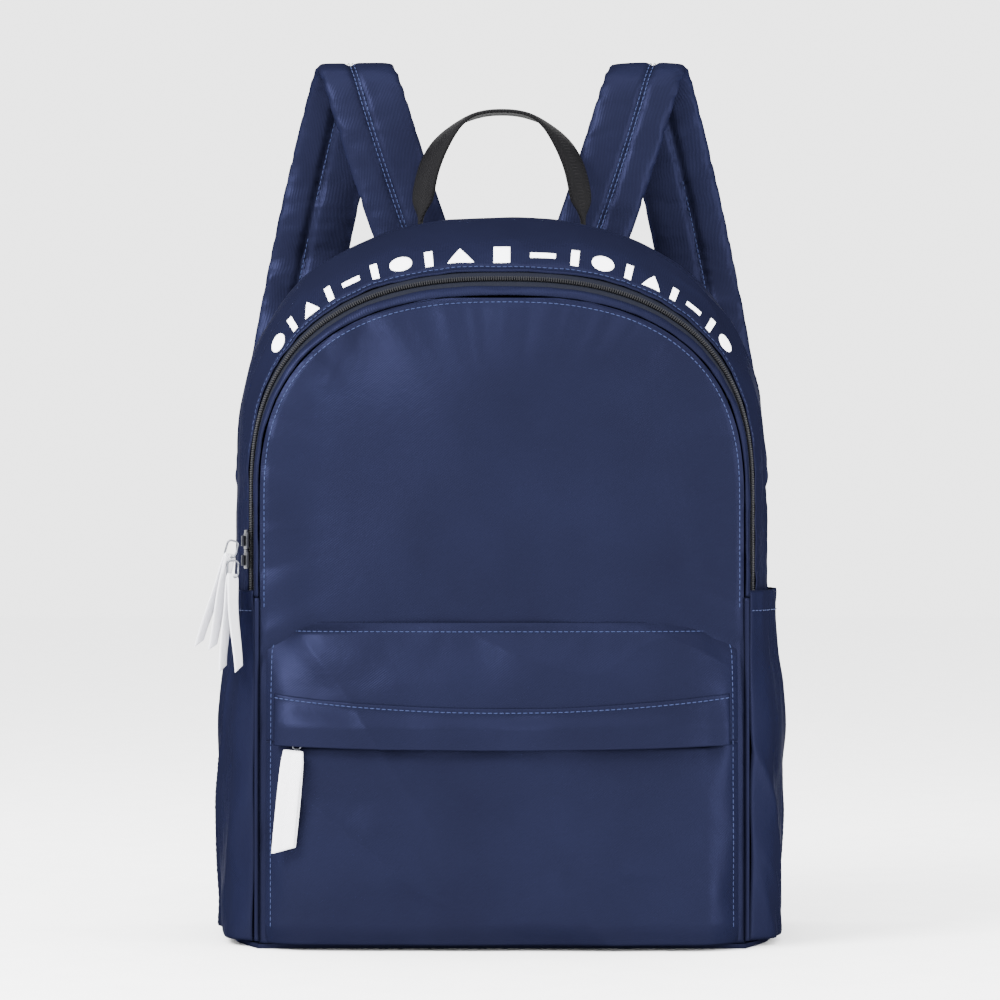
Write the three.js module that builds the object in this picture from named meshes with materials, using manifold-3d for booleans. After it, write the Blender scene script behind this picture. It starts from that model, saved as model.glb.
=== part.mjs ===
// School backpack: arched zip-round main compartment, front pocket under a zip placket, slip pockets on
// both sides, webbing grab handle and two padded shoulder straps with ladder-lock adjusters.
// Millimetres, +Z up, the front faces -Y, the origin is at the middle of the base on the ground.
import * as THREE from "three";
import { mergeVertices } from "three/addons/utils/BufferGeometryUtils.js";
import Module from "manifold-3d";

const wasm = await Module();
wasm.setup();
const { lerp, smoothstep, degToRad } = THREE.MathUtils;

// ---- Driving dimensions ----
const CLOTH = 1.6; // outer cloth with its coating and seam allowance
const GAP = 0.4; // air between neighbouring pieces
const SHOULDER_Z = 240; // height where the straight sides turn into the arch
const ARCH_POWER = 2.5; // superellipse exponent of both arches
const FRONT = { foot: 130, shoulder: 131, top: 349, yFoot: -68, yTop: -44 };
const BACK = { foot: 141, shoulder: 138, top: 388, yFoot: 66, yTop: 58 };
const SIDE_SHARE = 0.28; // share of a seam's parameter spent on each straight side
const WALL_BULGE = 10.5; // how far the side wall swells past the line between the two seams
const TOP_BULGE = 22.5;
const CROWN_POWER = 2.2;
const BASE_T = 2.4; // bottom panel
const WALL_Z = BASE_T + GAP; // where the walls start

// Main zip, as shares of the gusset's depth from the front seam (0) to the back seam (1).
const ZIP = {
  z: 187, middle: 0.08, coil: 0.013, tape: 0.046, strip: [0.014, 0.042], band: [0.118, 0.985],
};
const COIL = { low: 0.1, high: 1.5 }; // offsets from the cloth's inner face, outward
const TAPE = { low: -1.2, high: -0.4 };
const SLIDER = { plate: 1.3, out: 2.7, post: 1.8 }; // face plate, its middle's offset, pull post
const GUSSET_STEPS = 34; // facets along the arch
const ZIP_GAP = 0.0015; // half the gap between the two halves of the zip, as a share of the depth

// Front panel and the fold line that it opens about.
const FRONT_CROWN = 12;
const FOLD_Z = 178;
const FOLD_GAP = 2;

// Front pocket.
const POCKET = { half: 126, depth: 14, layer: 2.4, top: 173, rise: 46, mouth: 97, low: 5 };
const EDGE_POWER = 20; // how square the pocket's two upright edges are
const POCKET_ZIP_Z = 113.5;
const POCKET_WINDOW = 5; // half the height of the slot that the zip shows in
const PLACKET = { half: 119, low: 107.6, high: 126.4, lift: 5.6, t: 1.4 };

// Side pockets.
const SIDE_POCKET = { low: 4, high: 183, hem: 8, from: 0.1, to: 0.93, atHem: 4.4, full: 9.5, gap: 2.2 };

// Back.
const BACK_LAYERS = { cover: 1.4, foam: 6, lining: 1.0 };
const SLEEVE = { y: 45, t: 2, half: 122, low: 6, high: 250, hem: 10, tape: 0.8 };
const BASE_BOARD = { width: 236, depth: 104, t: 2 };

// Handle and straps.
const HANDLE = { half: 45, rise: 64, y: 52, base: 393.6, width: 20, foot: 7, t: 2.4, lean: 8 };
const STRAP = {
  width: 45.5, t: 9, lining: 2, cut: 3.4, x0: 42.5, slope: 0.37, bend: 0.00035, round: 16,
};
const YOKE = { width: 150, t: 2.4, height: 26, y: 69.2, z: 348 }; // cloth patch over both strap roots
const WEB = { width: 24, t: 1.8 };
const LOCK = { width: 32, height: 30, t: 4.4, slot: 6, bars: 9, tilt: 9, in: 5.5, below: 25 };
const LOCK_LOOP = { width: 22, t: 1.6, length: 8, in: 1.1, below: 6.1 };
const ANCHOR = { half: 14, foot: 9, low: 4, height: 26, t: 2, x: 131, y: 8.6, z: 8 };

const COLOURS = {
  navy: 0x2b3358, lining: 0x23283f, black: 0x1b1b1d, white: 0xeeeef2, foam: 0x3a3d46, metal: 0x8d8f93,
};

const root = new THREE.Group();

// Materials: one shared by every piece of the same stuff.
function material(color, roughness, metalness = 0) {
  return new THREE.MeshStandardMaterial({ color, roughness, metalness });
}
const MATERIALS = {
  shell: material(COLOURS.navy, 0.45),
  lining: material(COLOURS.lining, 0.8),
  webbing: material(COLOURS.black, 0.75),
  plastic: material(COLOURS.black, 0.4),
  pull: material(COLOURS.white, 0.6),
  foam: material(COLOURS.foam, 0.9),
  metal: material(COLOURS.metal, 0.3, 1),
};

function addPiece(name, geometry, kind) {
  const mesh = new THREE.Mesh(geometry, MATERIALS[kind]);
  mesh.name = name;
  root.add(mesh);
  return mesh;
}

// ---- Solid helpers ----

function signedVolume(vertices, faces) {
  let sum = 0;
  for (const [a, b, c] of faces) sum += vertices[a].dot(vertices[b].clone().cross(vertices[c]));
  return sum / 6;
}

function toGeometry(vertices, faces) {
  const outward = signedVolume(vertices, faces) > 0;
  const index = faces.flatMap(([a, b, c]) => (outward ? [a, b, c] : [a, c, b]));
  const geometry = new THREE.BufferGeometry().setFromPoints(vertices);
  geometry.setIndex(index);
  geometry.computeVertexNormals();
  return geometry;
}

// Unit normal of a grid of points at (row, column), by central differences.
function gridNormal(grid, row, column) {
  const lastRow = grid.length - 1;
  const lastColumn = grid[0].length - 1;
  const along = grid[Math.min(row + 1, lastRow)][column].clone().sub(grid[Math.max(row - 1, 0)][column]);
  const across = grid[row][Math.min(column + 1, lastColumn)]
    .clone()
    .sub(grid[row][Math.max(column - 1, 0)]);
  return along.cross(across).normalize();
}

// A closed sheet between two offsets, near and far, from a grid of points, along the grid's normals.
function sheet(grid, near, far) {
  const rows = grid.length;
  const columns = grid[0].length;
  const vertices = [];
  for (const offset of [near, far]) {
    for (let i = 0; i < rows; i++) {
      for (let j = 0; j < columns; j++) {
        vertices.push(grid[i][j].clone().addScaledVector(gridNormal(grid, i, j), offset));
      }
    }
  }
  const at = (side, i, j) => side * rows * columns + i * columns + j;
  const faces = [];
  const quad = (a, b, c, d) => faces.push([a, b, c], [a, c, d]);
  for (let i = 0; i + 1 < rows; i++) {
    for (let j = 0; j + 1 < columns; j++) {
      quad(at(0, i, j), at(0, i + 1, j), at(0, i + 1, j + 1), at(0, i, j + 1));
      quad(at(1, i, j), at(1, i, j + 1), at(1, i + 1, j + 1), at(1, i + 1, j));
    }
    quad(at(0, i, 0), at(1, i, 0), at(1, i + 1, 0), at(0, i + 1, 0));
    const last = columns - 1;
    quad(at(0, i, last), at(0, i + 1, last), at(1, i + 1, last), at(1, i, last));
  }
  for (let j = 0; j + 1 < columns; j++) {
    quad(at(0, 0, j), at(0, 0, j + 1), at(1, 0, j + 1), at(1, 0, j));
    quad(at(0, rows - 1, j), at(1, rows - 1, j), at(1, rows - 1, j + 1), at(0, rows - 1, j + 1));
  }
  return toGeometry(vertices, faces);
}

// Grid of surface(a, b) over two ranges.
function gridOf(surface, [a0, a1], aSteps, [b0, b1], bSteps) {
  return Array.from({ length: aSteps + 1 }, (_, i) =>
    Array.from({ length: bSteps + 1 }, (_, j) =>
      surface(lerp(a0, a1, i / aSteps), lerp(b0, b1, j / bSteps)),
    ),
  );
}

function toSolid(geometry) {
  const bare = geometry.clone();
  bare.deleteAttribute("normal");
  if (bare.hasAttribute("uv")) bare.deleteAttribute("uv");
  const merged = mergeVertices(bare, 1e-3);
  return new wasm.Manifold(
    new wasm.Mesh({
      numProp: 3,
      vertProperties: merged.attributes.position.array,
      triVerts: new Uint32Array(merged.index.array),
    }),
  );
}

function fromSolid(solid) {
  const mesh = solid.getMesh();
  const geometry = new THREE.BufferGeometry();
  geometry.setAttribute("position", new THREE.BufferAttribute(new Float32Array(mesh.vertProperties), 3));
  geometry.setIndex(new THREE.BufferAttribute(new Uint32Array(mesh.triVerts), 1));
  return geometry;
}

function boxAt(width, depth, height, x, y, z) {
  return new THREE.BoxGeometry(width, depth, height).translate(x, y, z);
}

// A flat outline drawn in X and Z, extruded along +Y from y = 0.
function plate(shape, thickness) {
  return new THREE.ExtrudeGeometry(shape, { depth: thickness, bevelEnabled: false, curveSegments: 6 })
    .rotateX(Math.PI / 2)
    .translate(0, thickness, 0);
}

// ---- The bag's surfaces ----

// y of a seam at height z: each seam lies in one leaning plane.
function seamY(seam, z) {
  return lerp(seam.yFoot, seam.yTop, z / seam.top);
}

// Half width of a seam's outline at height z.
function halfWidth(seam, z) {
  if (z <= SHOULDER_Z) return lerp(seam.foot, seam.shoulder, z / SHOULDER_Z);
  const h = Math.min((z - SHOULDER_Z) / (seam.top - SHOULDER_Z), 1);
  return seam.shoulder * (1 - h ** ARCH_POWER) ** (1 / ARCH_POWER);
}

// Point on a seam, from the left foot (0) over the arch to the right foot (1).
function seamPoint(seam, t) {
  const side = t < 0.5 ? -1 : 1;
  const s = t < 0.5 ? t : 1 - t;
  if (s < SIDE_SHARE) {
    const z = (SHOULDER_Z * s) / SIDE_SHARE;
    return new THREE.Vector3(side * halfWidth(seam, z), seamY(seam, z), z);
  }
  const angle = (Math.PI / 2) * ((s - SIDE_SHARE) / (0.5 - SIDE_SHARE));
  const x = side * seam.shoulder * Math.cos(angle) ** (2 / ARCH_POWER);
  const z = SHOULDER_Z + (seam.top - SHOULDER_Z) * Math.sin(angle) ** (2 / ARCH_POWER);
  return new THREE.Vector3(x, seamY(seam, z), z);
}

const crown = (v) => 1 - Math.abs(2 * v - 1) ** CROWN_POWER;

// Gusset surface: t runs along the seams, v from the front seam (0) to the back seam (1).
function gussetPoint(t, v, extra = 0) {
  const middle = (s) => seamPoint(FRONT, s).lerp(seamPoint(BACK, s), v);
  const here = middle(t);
  const step = 1e-3;
  const run = middle(Math.min(t + step, 1)).sub(middle(Math.max(t - step, 0)));
  const outward = new THREE.Vector3(-run.z, 0, run.x).normalize();
  const bulge = lerp(WALL_BULGE, TOP_BULGE, smoothstep(here.z, SHOULDER_Z, BACK.top)) + extra;
  return here.addScaledVector(outward, bulge * crown(v));
}

// Parameter of a seam at height z on the left side (z up to SHOULDER_Z).
const sideT = (z) => (SIDE_SHARE * z) / SHOULDER_Z;

// Front panel surface: u is x as a share of the half width.
function frontPoint(u, z, proud = 0) {
  const x = u * (halfWidth(FRONT, z) - 0.6);
  const fade = 1 - Math.max((z - SHOULDER_Z) / (FRONT.top - SHOULDER_Z), 0) ** 3;
  const swell = FRONT_CROWN * fade * (1 - u * u) * lerp(0.55, 1, smoothstep(z, 0, 200));
  return new THREE.Vector3(x, seamY(FRONT, z) - swell - proud, z);
}

// Front pocket surface at x, z.
function pocketPoint(x, z, proud = 0) {
  const edge = 1 - Math.abs(x / (POCKET.half + 2)) ** EDGE_POWER;
  const drop = Math.min(Math.max((POCKET.top - z) / POCKET.rise, 0), 1);
  const rise = Math.sin((drop * Math.PI) / 2) * lerp(0.75, 1, smoothstep(z, 0, 60));
  const behind = frontPoint(x / (halfWidth(FRONT, z) - 0.6), z);
  return new THREE.Vector3(x, behind.y - POCKET.layer - POCKET.depth * edge * rise - proud, z);
}

// ---- Shell ----

function flatOutline(seam, inset, low = WALL_Z) {
  const points = [];
  const steps = 24;
  for (let i = 0; i <= steps; i++) {
    const t = i / steps;
    const p = seamPoint(seam, t);
    const middle = new THREE.Vector3(0, 0, SHOULDER_Z - 60);
    const pull = new THREE.Vector3(p.x, 0, p.z).sub(middle).normalize().multiplyScalar(inset);
    points.push(new THREE.Vector2(p.x - pull.x, Math.max(p.z - pull.z, low)));
  }
  return new THREE.Shape(points);
}

// A layer of the back, from y offset `from` to `to` outward of the back seam's leaning plane.
function backLayer(from, to, inset) {
  const layer = plate(flatOutline(BACK, inset), to - from).translate(0, BACK.yFoot + from, 0);
  const lean = new THREE.Matrix4().makeShear(0, 0, 0, 0, 0, (BACK.yTop - BACK.yFoot) / BACK.top);
  return layer.applyMatrix4(lean);
}

function baseOutline() {
  const points = [];
  const steps = 8;
  const side = gridOf((v) => gussetPoint(0, v, 3), [0, 1], steps, [0, 1], 1).map((row) => row[0]);
  for (const p of side) points.push(new THREE.Vector2(p.x, p.y));
  for (const p of side.reverse()) points.push(new THREE.Vector2(-p.x, p.y));
  return new THREE.Shape(points);
}

function makeShell() {
  const upper = [sideT(ZIP.z), 1 - sideT(ZIP.z)];
  addPiece("gusset_band", sheet(gridOf(gussetPoint, upper, GUSSET_STEPS, ZIP.band, 6), 0, CLOTH), "shell");
  const strip = gridOf(gussetPoint, upper, GUSSET_STEPS, ZIP.strip, 1);
  addPiece("gusset_front_strip", sheet(strip, 0, CLOTH), "shell");
  const wall = [sideT(WALL_Z), sideT(ZIP.z - 2)];
  const left = gridOf(gussetPoint, wall, 5, [0.014, 0.985], 7);
  addPiece("side_panel_left", sheet(left, 0, CLOTH), "shell");
  const right = gridOf(gussetPoint, [1 - wall[1], 1 - wall[0]], 5, [0.014, 0.985], 7);
  addPiece("side_panel_right", sheet(right, 0, CLOTH), "shell");

  const upperPanel = (u, h) => frontPoint(u, lerp(FOLD_Z + FOLD_GAP, FRONT.top - 0.9, 1 - (1 - h) ** 1.6));
  addPiece("front_panel_upper", sheet(gridOf(upperPanel, [-1, 1], 12, [0, 1], 9), 0, -CLOTH), "shell");
  const lowerPanel = gridOf(frontPoint, [-1, 1], 10, [WALL_Z, FOLD_Z - FOLD_GAP], 5);
  addPiece("front_panel_lower", sheet(lowerPanel, 0, -CLOTH), "shell");

  const base = new THREE.ExtrudeGeometry(baseOutline(), { depth: BASE_T, bevelEnabled: false });
  addPiece("bottom_panel", base, "shell");
  const { width, depth, t } = BASE_BOARD;
  addPiece("base_board", boxAt(width, depth, t, 0, 0, WALL_Z + t / 2), "foam");

  const { cover, foam, lining } = BACK_LAYERS;
  addPiece("back_panel", backLayer(foam + GAP, foam + GAP + cover, 1), "shell");
  addPiece("back_foam", backLayer(0, foam, 5), "foam");
  addPiece("back_lining", backLayer(-GAP - lining, -GAP, 6), "lining");
}

function makeSleeve() {
  const { y, t, half, low, high, hem, tape } = SLEEVE;
  addPiece("laptop_sleeve", boxAt(2 * half, t, high - low, 0, y, (low + high) / 2), "lining");
  const binding = boxAt(2 * half, t + 2 * tape, hem, 0, y, high + GAP + hem / 2);
  addPiece("sleeve_binding", binding, "lining");
}

// ---- Zips ----

function makeMainZip() {
  const upper = [sideT(ZIP.z), 1 - sideT(ZIP.z)];
  const halves = [
    ["front", [ZIP.middle - ZIP.coil, ZIP.middle - ZIP_GAP], [ZIP.middle - ZIP.tape, ZIP.middle - ZIP_GAP]],
    ["rear", [ZIP.middle + ZIP_GAP, ZIP.middle + ZIP.coil], [ZIP.middle + ZIP_GAP, ZIP.middle + ZIP.tape]],
  ];
  for (const [name, coil, tape] of halves) {
    const coilGrid = gridOf(gussetPoint, upper, GUSSET_STEPS, coil, 1);
    addPiece(`main_zip_coil_${name}`, sheet(coilGrid, COIL.low, COIL.high), "plastic");
    const tapeGrid = gridOf(gussetPoint, upper, GUSSET_STEPS, tape, 1);
    addPiece(`main_zip_tape_${name}`, sheet(tapeGrid, TAPE.low, TAPE.high), "webbing");
  }
}

// Frame on a surface: local X along a, local Z along b and local -Y out of the bag.
function frameAt(surface, a, b, step) {
  const alongA = surface(a + step, b).sub(surface(a - step, b)).normalize();
  const alongB = surface(a, b + step).sub(surface(a, b - step)).normalize();
  const inward = alongB.clone().cross(alongA).normalize();
  const square = inward.clone().cross(alongB).normalize();
  return new THREE.Matrix4().makeBasis(square, inward, alongB).setPosition(surface(a, b));
}

// Slider on one half of the zip only: x from `from` to `to`, so that the other half can swing away.
function sliderSolid(from, to, length, reach) {
  const middle = (from + to) / 2;
  const { plate: t, out, post: wide } = SLIDER;
  const top = toSolid(boxAt(to - from, t, length, middle, -out, 0));
  const post = toSolid(boxAt(wide, reach, length / 2, middle, -out - 0.4 - reach / 2, 0));
  return fromSolid(top.add(post));
}

// Wire loop with its pin at the origin, hanging down.
function pullRing(width, drop, wire) {
  const middle = wire / 2 - drop / 2;
  const outer = toSolid(boxAt(width, wire, drop, 0, 0, middle));
  const hole = toSolid(boxAt(width - 2 * wire, 3 * wire, drop - 2 * wire, 0, 0, middle));
  return fromSolid(outer.subtract(hole));
}

// Folded ribbon with a slanted lower end; its upper end is at z = 0.
function pullRibbon(width, length, thickness) {
  const slant = 4.5;
  const shape = new THREE.Shape([
    new THREE.Vector2(-width / 2, 0),
    new THREE.Vector2(-width / 2, -length),
    new THREE.Vector2(width / 2, slant - length),
    new THREE.Vector2(width / 2, 0),
  ]);
  return plate(shape, thickness).translate(0, -thickness / 2, 0);
}

const SLIDER_LENGTH = 9;
const RING = { width: 7, drop: 9, wire: 1 };
const RIBBON = { width: 11.5, length: 50, t: 2 };
const MAIN_SLIDERS = [
  { name: "a", z: 217, pin: [-144, -51.4], lean: 21, tilt: 2, reach: 1.2 },
  { name: "b", z: 206.5, pin: [-144, -55.4], lean: 9, tilt: 5, reach: 3.6 },
];

function makeMainSliders() {
  const surface = (a, height) => gussetPoint(sideT(height), ZIP.middle - a);
  for (const { name, z, pin, lean, tilt, reach } of MAIN_SLIDERS) {
    const frame = frameAt(surface, 0, z, 0.01);
    const body = sliderSolid(-3.6, -0.4, SLIDER_LENGTH, reach).applyMatrix4(frame);
    addPiece(`main_slider_${name}`, body, "metal");
    const place = (geometry) =>
      geometry.rotateX(degToRad(-tilt)).rotateY(degToRad(lean)).translate(pin[0], pin[1], z);
    addPiece(`main_pull_ring_${name}`, place(pullRing(RING.width, RING.drop, RING.wire)), "metal");
    const ribbon = pullRibbon(RIBBON.width, RIBBON.length, RIBBON.t);
    addPiece(`main_pull_${name}`, place(ribbon.translate(0, 0, RING.wire / 2 - RING.drop - GAP)), "pull");
  }
}

// ---- Front pocket ----

// Grid of the pocket's surface over a range of x and z, with columns gathered at the two ends.
function pocketGrid(half, low, high, proud, rows) {
  const surface = (u, z) => {
    const x = half * Math.sign(u) * (1 - (1 - Math.abs(u)) ** 1.7);
    return pocketPoint(x, z, proud);
  };
  return gridOf(surface, [-1, 1], 14, [low, high], rows);
}

function makePocket() {
  const { half, top, mouth, low } = POCKET;
  const slotLow = POCKET_ZIP_Z - POCKET_WINDOW;
  const slotHigh = POCKET_ZIP_Z + POCKET_WINDOW;
  addPiece("pocket_band", sheet(pocketGrid(half, slotHigh, top - 1, 0, 5), 0, -CLOTH), "shell");
  addPiece("pocket_front", sheet(pocketGrid(mouth, low, slotLow, 0, 5), 0, -CLOTH), "shell");
  for (const side of [-1, 1]) {
    const surface = (x, z) => pocketPoint(side * x, z);
    const strip = gridOf(surface, [mouth + GAP, half], 5, [WALL_Z, POCKET_ZIP_Z - 0.4], 5);
    addPiece(side < 0 ? "pocket_side_left" : "pocket_side_right", sheet(strip, 0, side * -CLOTH), "shell");
  }
  const placket = pocketGrid(PLACKET.half, PLACKET.low, PLACKET.high, PLACKET.lift, 3);
  addPiece("pocket_placket", sheet(placket, 0, -PLACKET.t), "shell");

  const coil = 2.2;
  const upper = POCKET_ZIP_Z + 0.3;
  const lower = POCKET_ZIP_Z - 0.3;
  const run = (from, to, proud, t, reach) => sheet(pocketGrid(reach, from, to, proud, 1), 0, -t);
  const tapeSink = -2.2;
  addPiece("pocket_zip_coil_upper", run(upper, upper + coil, 0, 1.4, half - 10), "plastic");
  addPiece("pocket_zip_tape_upper", run(upper, slotHigh - GAP, tapeSink, 0.8, half - 10), "webbing");
  addPiece("pocket_zip_coil_lower", run(lower - coil, lower, 0, 1.4, mouth - GAP), "plastic");
  addPiece("pocket_zip_tape_lower", run(slotLow + GAP, lower, tapeSink, 0.8, mouth - GAP), "webbing");
}

const POCKET_PULL = { x: -108, width: 11.5, length: 52, t: 1.8, lean: 5, shift: -2 };
const POCKET_RING = { width: 5, drop: 10, wire: 0.9, z: 2.6, out: 3.2 };
const POCKET_SLIDER = { width: 7, t: 1, height: 4, out: 2.1 };

function makePocketSlider() {
  const { x, width, length, t, lean, shift } = POCKET_PULL;
  const ring = POCKET_RING;
  const slider = POCKET_SLIDER;
  const frame = frameAt(pocketPoint, x, POCKET_ZIP_Z, 0.5);
  const body = boxAt(slider.width, slider.t, slider.height, 0, -slider.out, ring.z);
  addPiece("pocket_slider", body.applyMatrix4(frame), "metal");
  const loop = pullRing(ring.width, ring.drop, ring.wire).translate(0, -ring.out, ring.z);
  addPiece("pocket_pull_ring", loop.applyMatrix4(frame), "metal");
  const ribbon = pullRibbon(width, length, t)
    .rotateY(degToRad(lean))
    .translate(shift, -ring.out - 2.9, ring.z - ring.drop - 1.2)
    .applyMatrix4(frame);
  addPiece("pocket_pull", ribbon, "pull");
}

// ---- Side pockets ----

function makeSidePockets() {
  const { low, high, hem, from, to, atHem, full, gap } = SIDE_POCKET;
  for (const side of [-1, 1]) {
    const name = side < 0 ? "left" : "right";
    const surface = (z, v) => {
      const extra = lerp(full, atHem, smoothstep(z, 110, high));
      const share = (v - from) / (to - from);
      const p = gussetPoint(sideT(z), v, 0);
      const grown = gussetPoint(sideT(z), v, extra);
      const lift = gap + Math.abs(grown.x - p.x) * Math.min(1, 9 * share, 9 * (1 - share));
      return new THREE.Vector3(side * (Math.abs(p.x) + lift), p.y, z);
    };
    const sign = side < 0 ? 1 : -1;
    const bag = gridOf(surface, [low, high], 6, [from, to], 9);
    addPiece(`side_pocket_${name}`, sheet(bag, 0, sign * CLOTH), "shell");
    const hemGrid = gridOf(surface, [high + GAP, high + GAP + hem], 1, [from, to], 9);
    addPiece(`side_pocket_hem_${name}`, sheet(hemGrid, 0, sign * (CLOTH + 0.6)), "shell");
  }
}

// ---- Grab handle ----

function makeHandle() {
  const { half, rise, y, base, width, foot, t, lean } = HANDLE;
  const steps = 20;
  const shear = Math.tan(degToRad(lean));
  const at = (a) => {
    const angle = Math.PI * a;
    const power = 0.85;
    const x = -half * Math.sign(Math.cos(angle)) * Math.abs(Math.cos(angle)) ** power;
    const z = base + rise * Math.sin(angle) ** power;
    return { x, z };
  };
  const surface = (a, b) => {
    const { x, z } = at(a);
    const wide = lerp(foot, width, smoothstep(z, base, base + 22));
    return new THREE.Vector3(x, y + (z - base) * shear + (b - 0.5) * wide, z);
  };
  addPiece("grab_handle", sheet(gridOf(surface, [0, 1], steps, [0, 1], 1), -t / 2, t / 2), "webbing");
}

// ---- Shoulder straps ----

// Side profile of the pad's middle surface: up behind the back seam, over the fold and down behind the bag.
const STRAP_PROFILE = new THREE.CatmullRomCurve3(
  [
    [71.5, 366], [75, 395], [78, 430], [81, 458], [86, 477], [97, 487.4], [108, 477], [113, 458],
    [115.5, 425], [115.5, 375], [110, 318], [101, 266], [94, 236],
  ].map(([y, z]) => new THREE.Vector3(0, y, z)),
  false,
  "centripetal",
);
const STRAP_LENGTH = STRAP_PROFILE.getLength();
const STRAP_FOLD = 126.5; // length of the strap from its root to the top of the fold

function strapX(s) {
  return STRAP.x0 + STRAP.slope * s - STRAP.bend * s * s;
}

function strapGrid(side, from, to, steps) {
  const surface = (s, b) => {
    const p = STRAP_PROFILE.getPointAt(s / STRAP_LENGTH);
    const left = STRAP_LENGTH - s;
    const narrow = left < STRAP.round ? Math.sqrt(1 - (1 - left / STRAP.round) ** 2 * 0.72) : 1;
    return new THREE.Vector3(side * strapX(s) + (b - 0.5) * STRAP.width * narrow, p.y, p.z);
  };
  return gridOf(surface, [from, to], steps, [0, 1], 2);
}

// Ladder lock lying in the X-Z plane, its middle at the origin.
function ladderLock() {
  const { width, height, t, slot, bars } = LOCK;
  const slotWidth = WEB.width + 2;
  let body = toSolid(boxAt(width, t, height, 0, 0, 0));
  for (const z of [-bars, 0, bars]) {
    body = body.subtract(toSolid(boxAt(slotWidth, 3 * t, slot, 0, 0, z)));
  }
  return fromSolid(body);
}

// Adjusting webbing from the anchor up to the lock, and its free tail outside.
const WEB_ROUTE = [[74, 38], [75.5, 90], [78, 140], [79.6, 188], [80.2, 212]];
const TAIL_ROUTE = [[92.2, 207], [95.5, 178], [95, 145], [92, 112]];

function webbingAt(x, points) {
  const route = new THREE.CatmullRomCurve3(points.map(([y, z]) => new THREE.Vector3(0, y, z)));
  const surface = (a, b) => {
    const p = route.getPointAt(a);
    return new THREE.Vector3(x + (b - 0.5) * WEB.width, p.y, p.z);
  };
  return sheet(gridOf(surface, [0, 1], 2 * points.length, [0, 1], 1), -WEB.t / 2, WEB.t / 2);
}

function makeStrap(side) {
  const name = side < 0 ? "left" : "right";
  const half = STRAP.t / 2;
  const seam = half - STRAP.lining;
  const fold = [STRAP_FOLD - STRAP.cut, STRAP_FOLD + STRAP.cut];
  addPiece(`strap_root_${name}`, sheet(strapGrid(side, 2, fold[0], 14), -half, half), "shell");
  const rear = strapGrid(side, fold[1], STRAP_LENGTH, 26);
  addPiece(`strap_pad_${name}`, sheet(rear, -half, seam), "shell");
  addPiece(`strap_lining_${name}`, sheet(rear, seam + GAP, half), "lining");

  const end = STRAP_PROFILE.getPointAt(1);
  const x = side * strapX(STRAP_LENGTH);
  const lock = ladderLock()
    .rotateX(-degToRad(LOCK.tilt))
    .translate(x, end.y - LOCK.in, end.z - LOCK.below);
  addPiece(`ladder_lock_${name}`, lock, "plastic");

  // Short webbing loop that ties the lock's top bar to the pad's end.
  const { width, t, length, below } = LOCK_LOOP;
  const loop = boxAt(width, t, length, x, end.y - LOCK_LOOP.in, end.z - below);
  addPiece(`lock_loop_${name}`, loop, "webbing");

  addPiece(`strap_webbing_${name}`, webbingAt(x, WEB_ROUTE), "webbing");
  addPiece(`strap_tail_${name}`, webbingAt(x, TAIL_ROUTE), "webbing");

  // Triangular tab sewn into the side seam that holds the webbing's lower end.
  const { half: tabHalf, height, low, foot, y, z } = ANCHOR;
  const tabShape = new THREE.Shape([
    new THREE.Vector2(-tabHalf, height),
    new THREE.Vector2(-tabHalf, low),
    new THREE.Vector2(foot, low),
    new THREE.Vector2(tabHalf, height),
  ]);
  const tab = plate(tabShape, ANCHOR.t).translate(side * ANCHOR.x, BACK.yFoot + y, z);
  addPiece(`strap_anchor_${name}`, tab, "shell");
}

makeShell();
makeSleeve();
makeMainZip();
makeMainSliders();
makePocket();
makePocketSlider();
makeSidePockets();
makeHandle();
for (const side of [-1, 1]) makeStrap(side);
addPiece("strap_yoke", boxAt(YOKE.width, YOKE.t, YOKE.height, 0, YOKE.y, YOKE.z), "shell");

export default root;
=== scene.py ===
"""Looks of the school backpack: nylon shell, zips, webbing and padded straps on the CAD frame. Metres."""

import math

import bmesh
import bpy
import numpy as np
from mathutils import Matrix, Vector


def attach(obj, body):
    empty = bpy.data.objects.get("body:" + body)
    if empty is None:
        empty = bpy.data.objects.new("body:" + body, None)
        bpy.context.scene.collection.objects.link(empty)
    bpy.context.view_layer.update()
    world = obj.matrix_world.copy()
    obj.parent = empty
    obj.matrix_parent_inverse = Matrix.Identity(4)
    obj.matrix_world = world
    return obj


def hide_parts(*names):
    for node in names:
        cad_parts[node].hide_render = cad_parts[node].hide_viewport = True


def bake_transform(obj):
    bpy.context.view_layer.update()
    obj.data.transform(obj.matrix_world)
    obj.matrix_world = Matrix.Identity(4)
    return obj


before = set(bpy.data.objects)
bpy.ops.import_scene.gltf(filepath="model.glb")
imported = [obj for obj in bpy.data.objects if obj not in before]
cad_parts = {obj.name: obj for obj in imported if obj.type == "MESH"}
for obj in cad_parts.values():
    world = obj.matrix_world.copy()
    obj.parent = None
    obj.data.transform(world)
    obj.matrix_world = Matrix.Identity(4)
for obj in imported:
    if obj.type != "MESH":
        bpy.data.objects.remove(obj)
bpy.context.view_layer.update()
MM = 0.001

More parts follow.
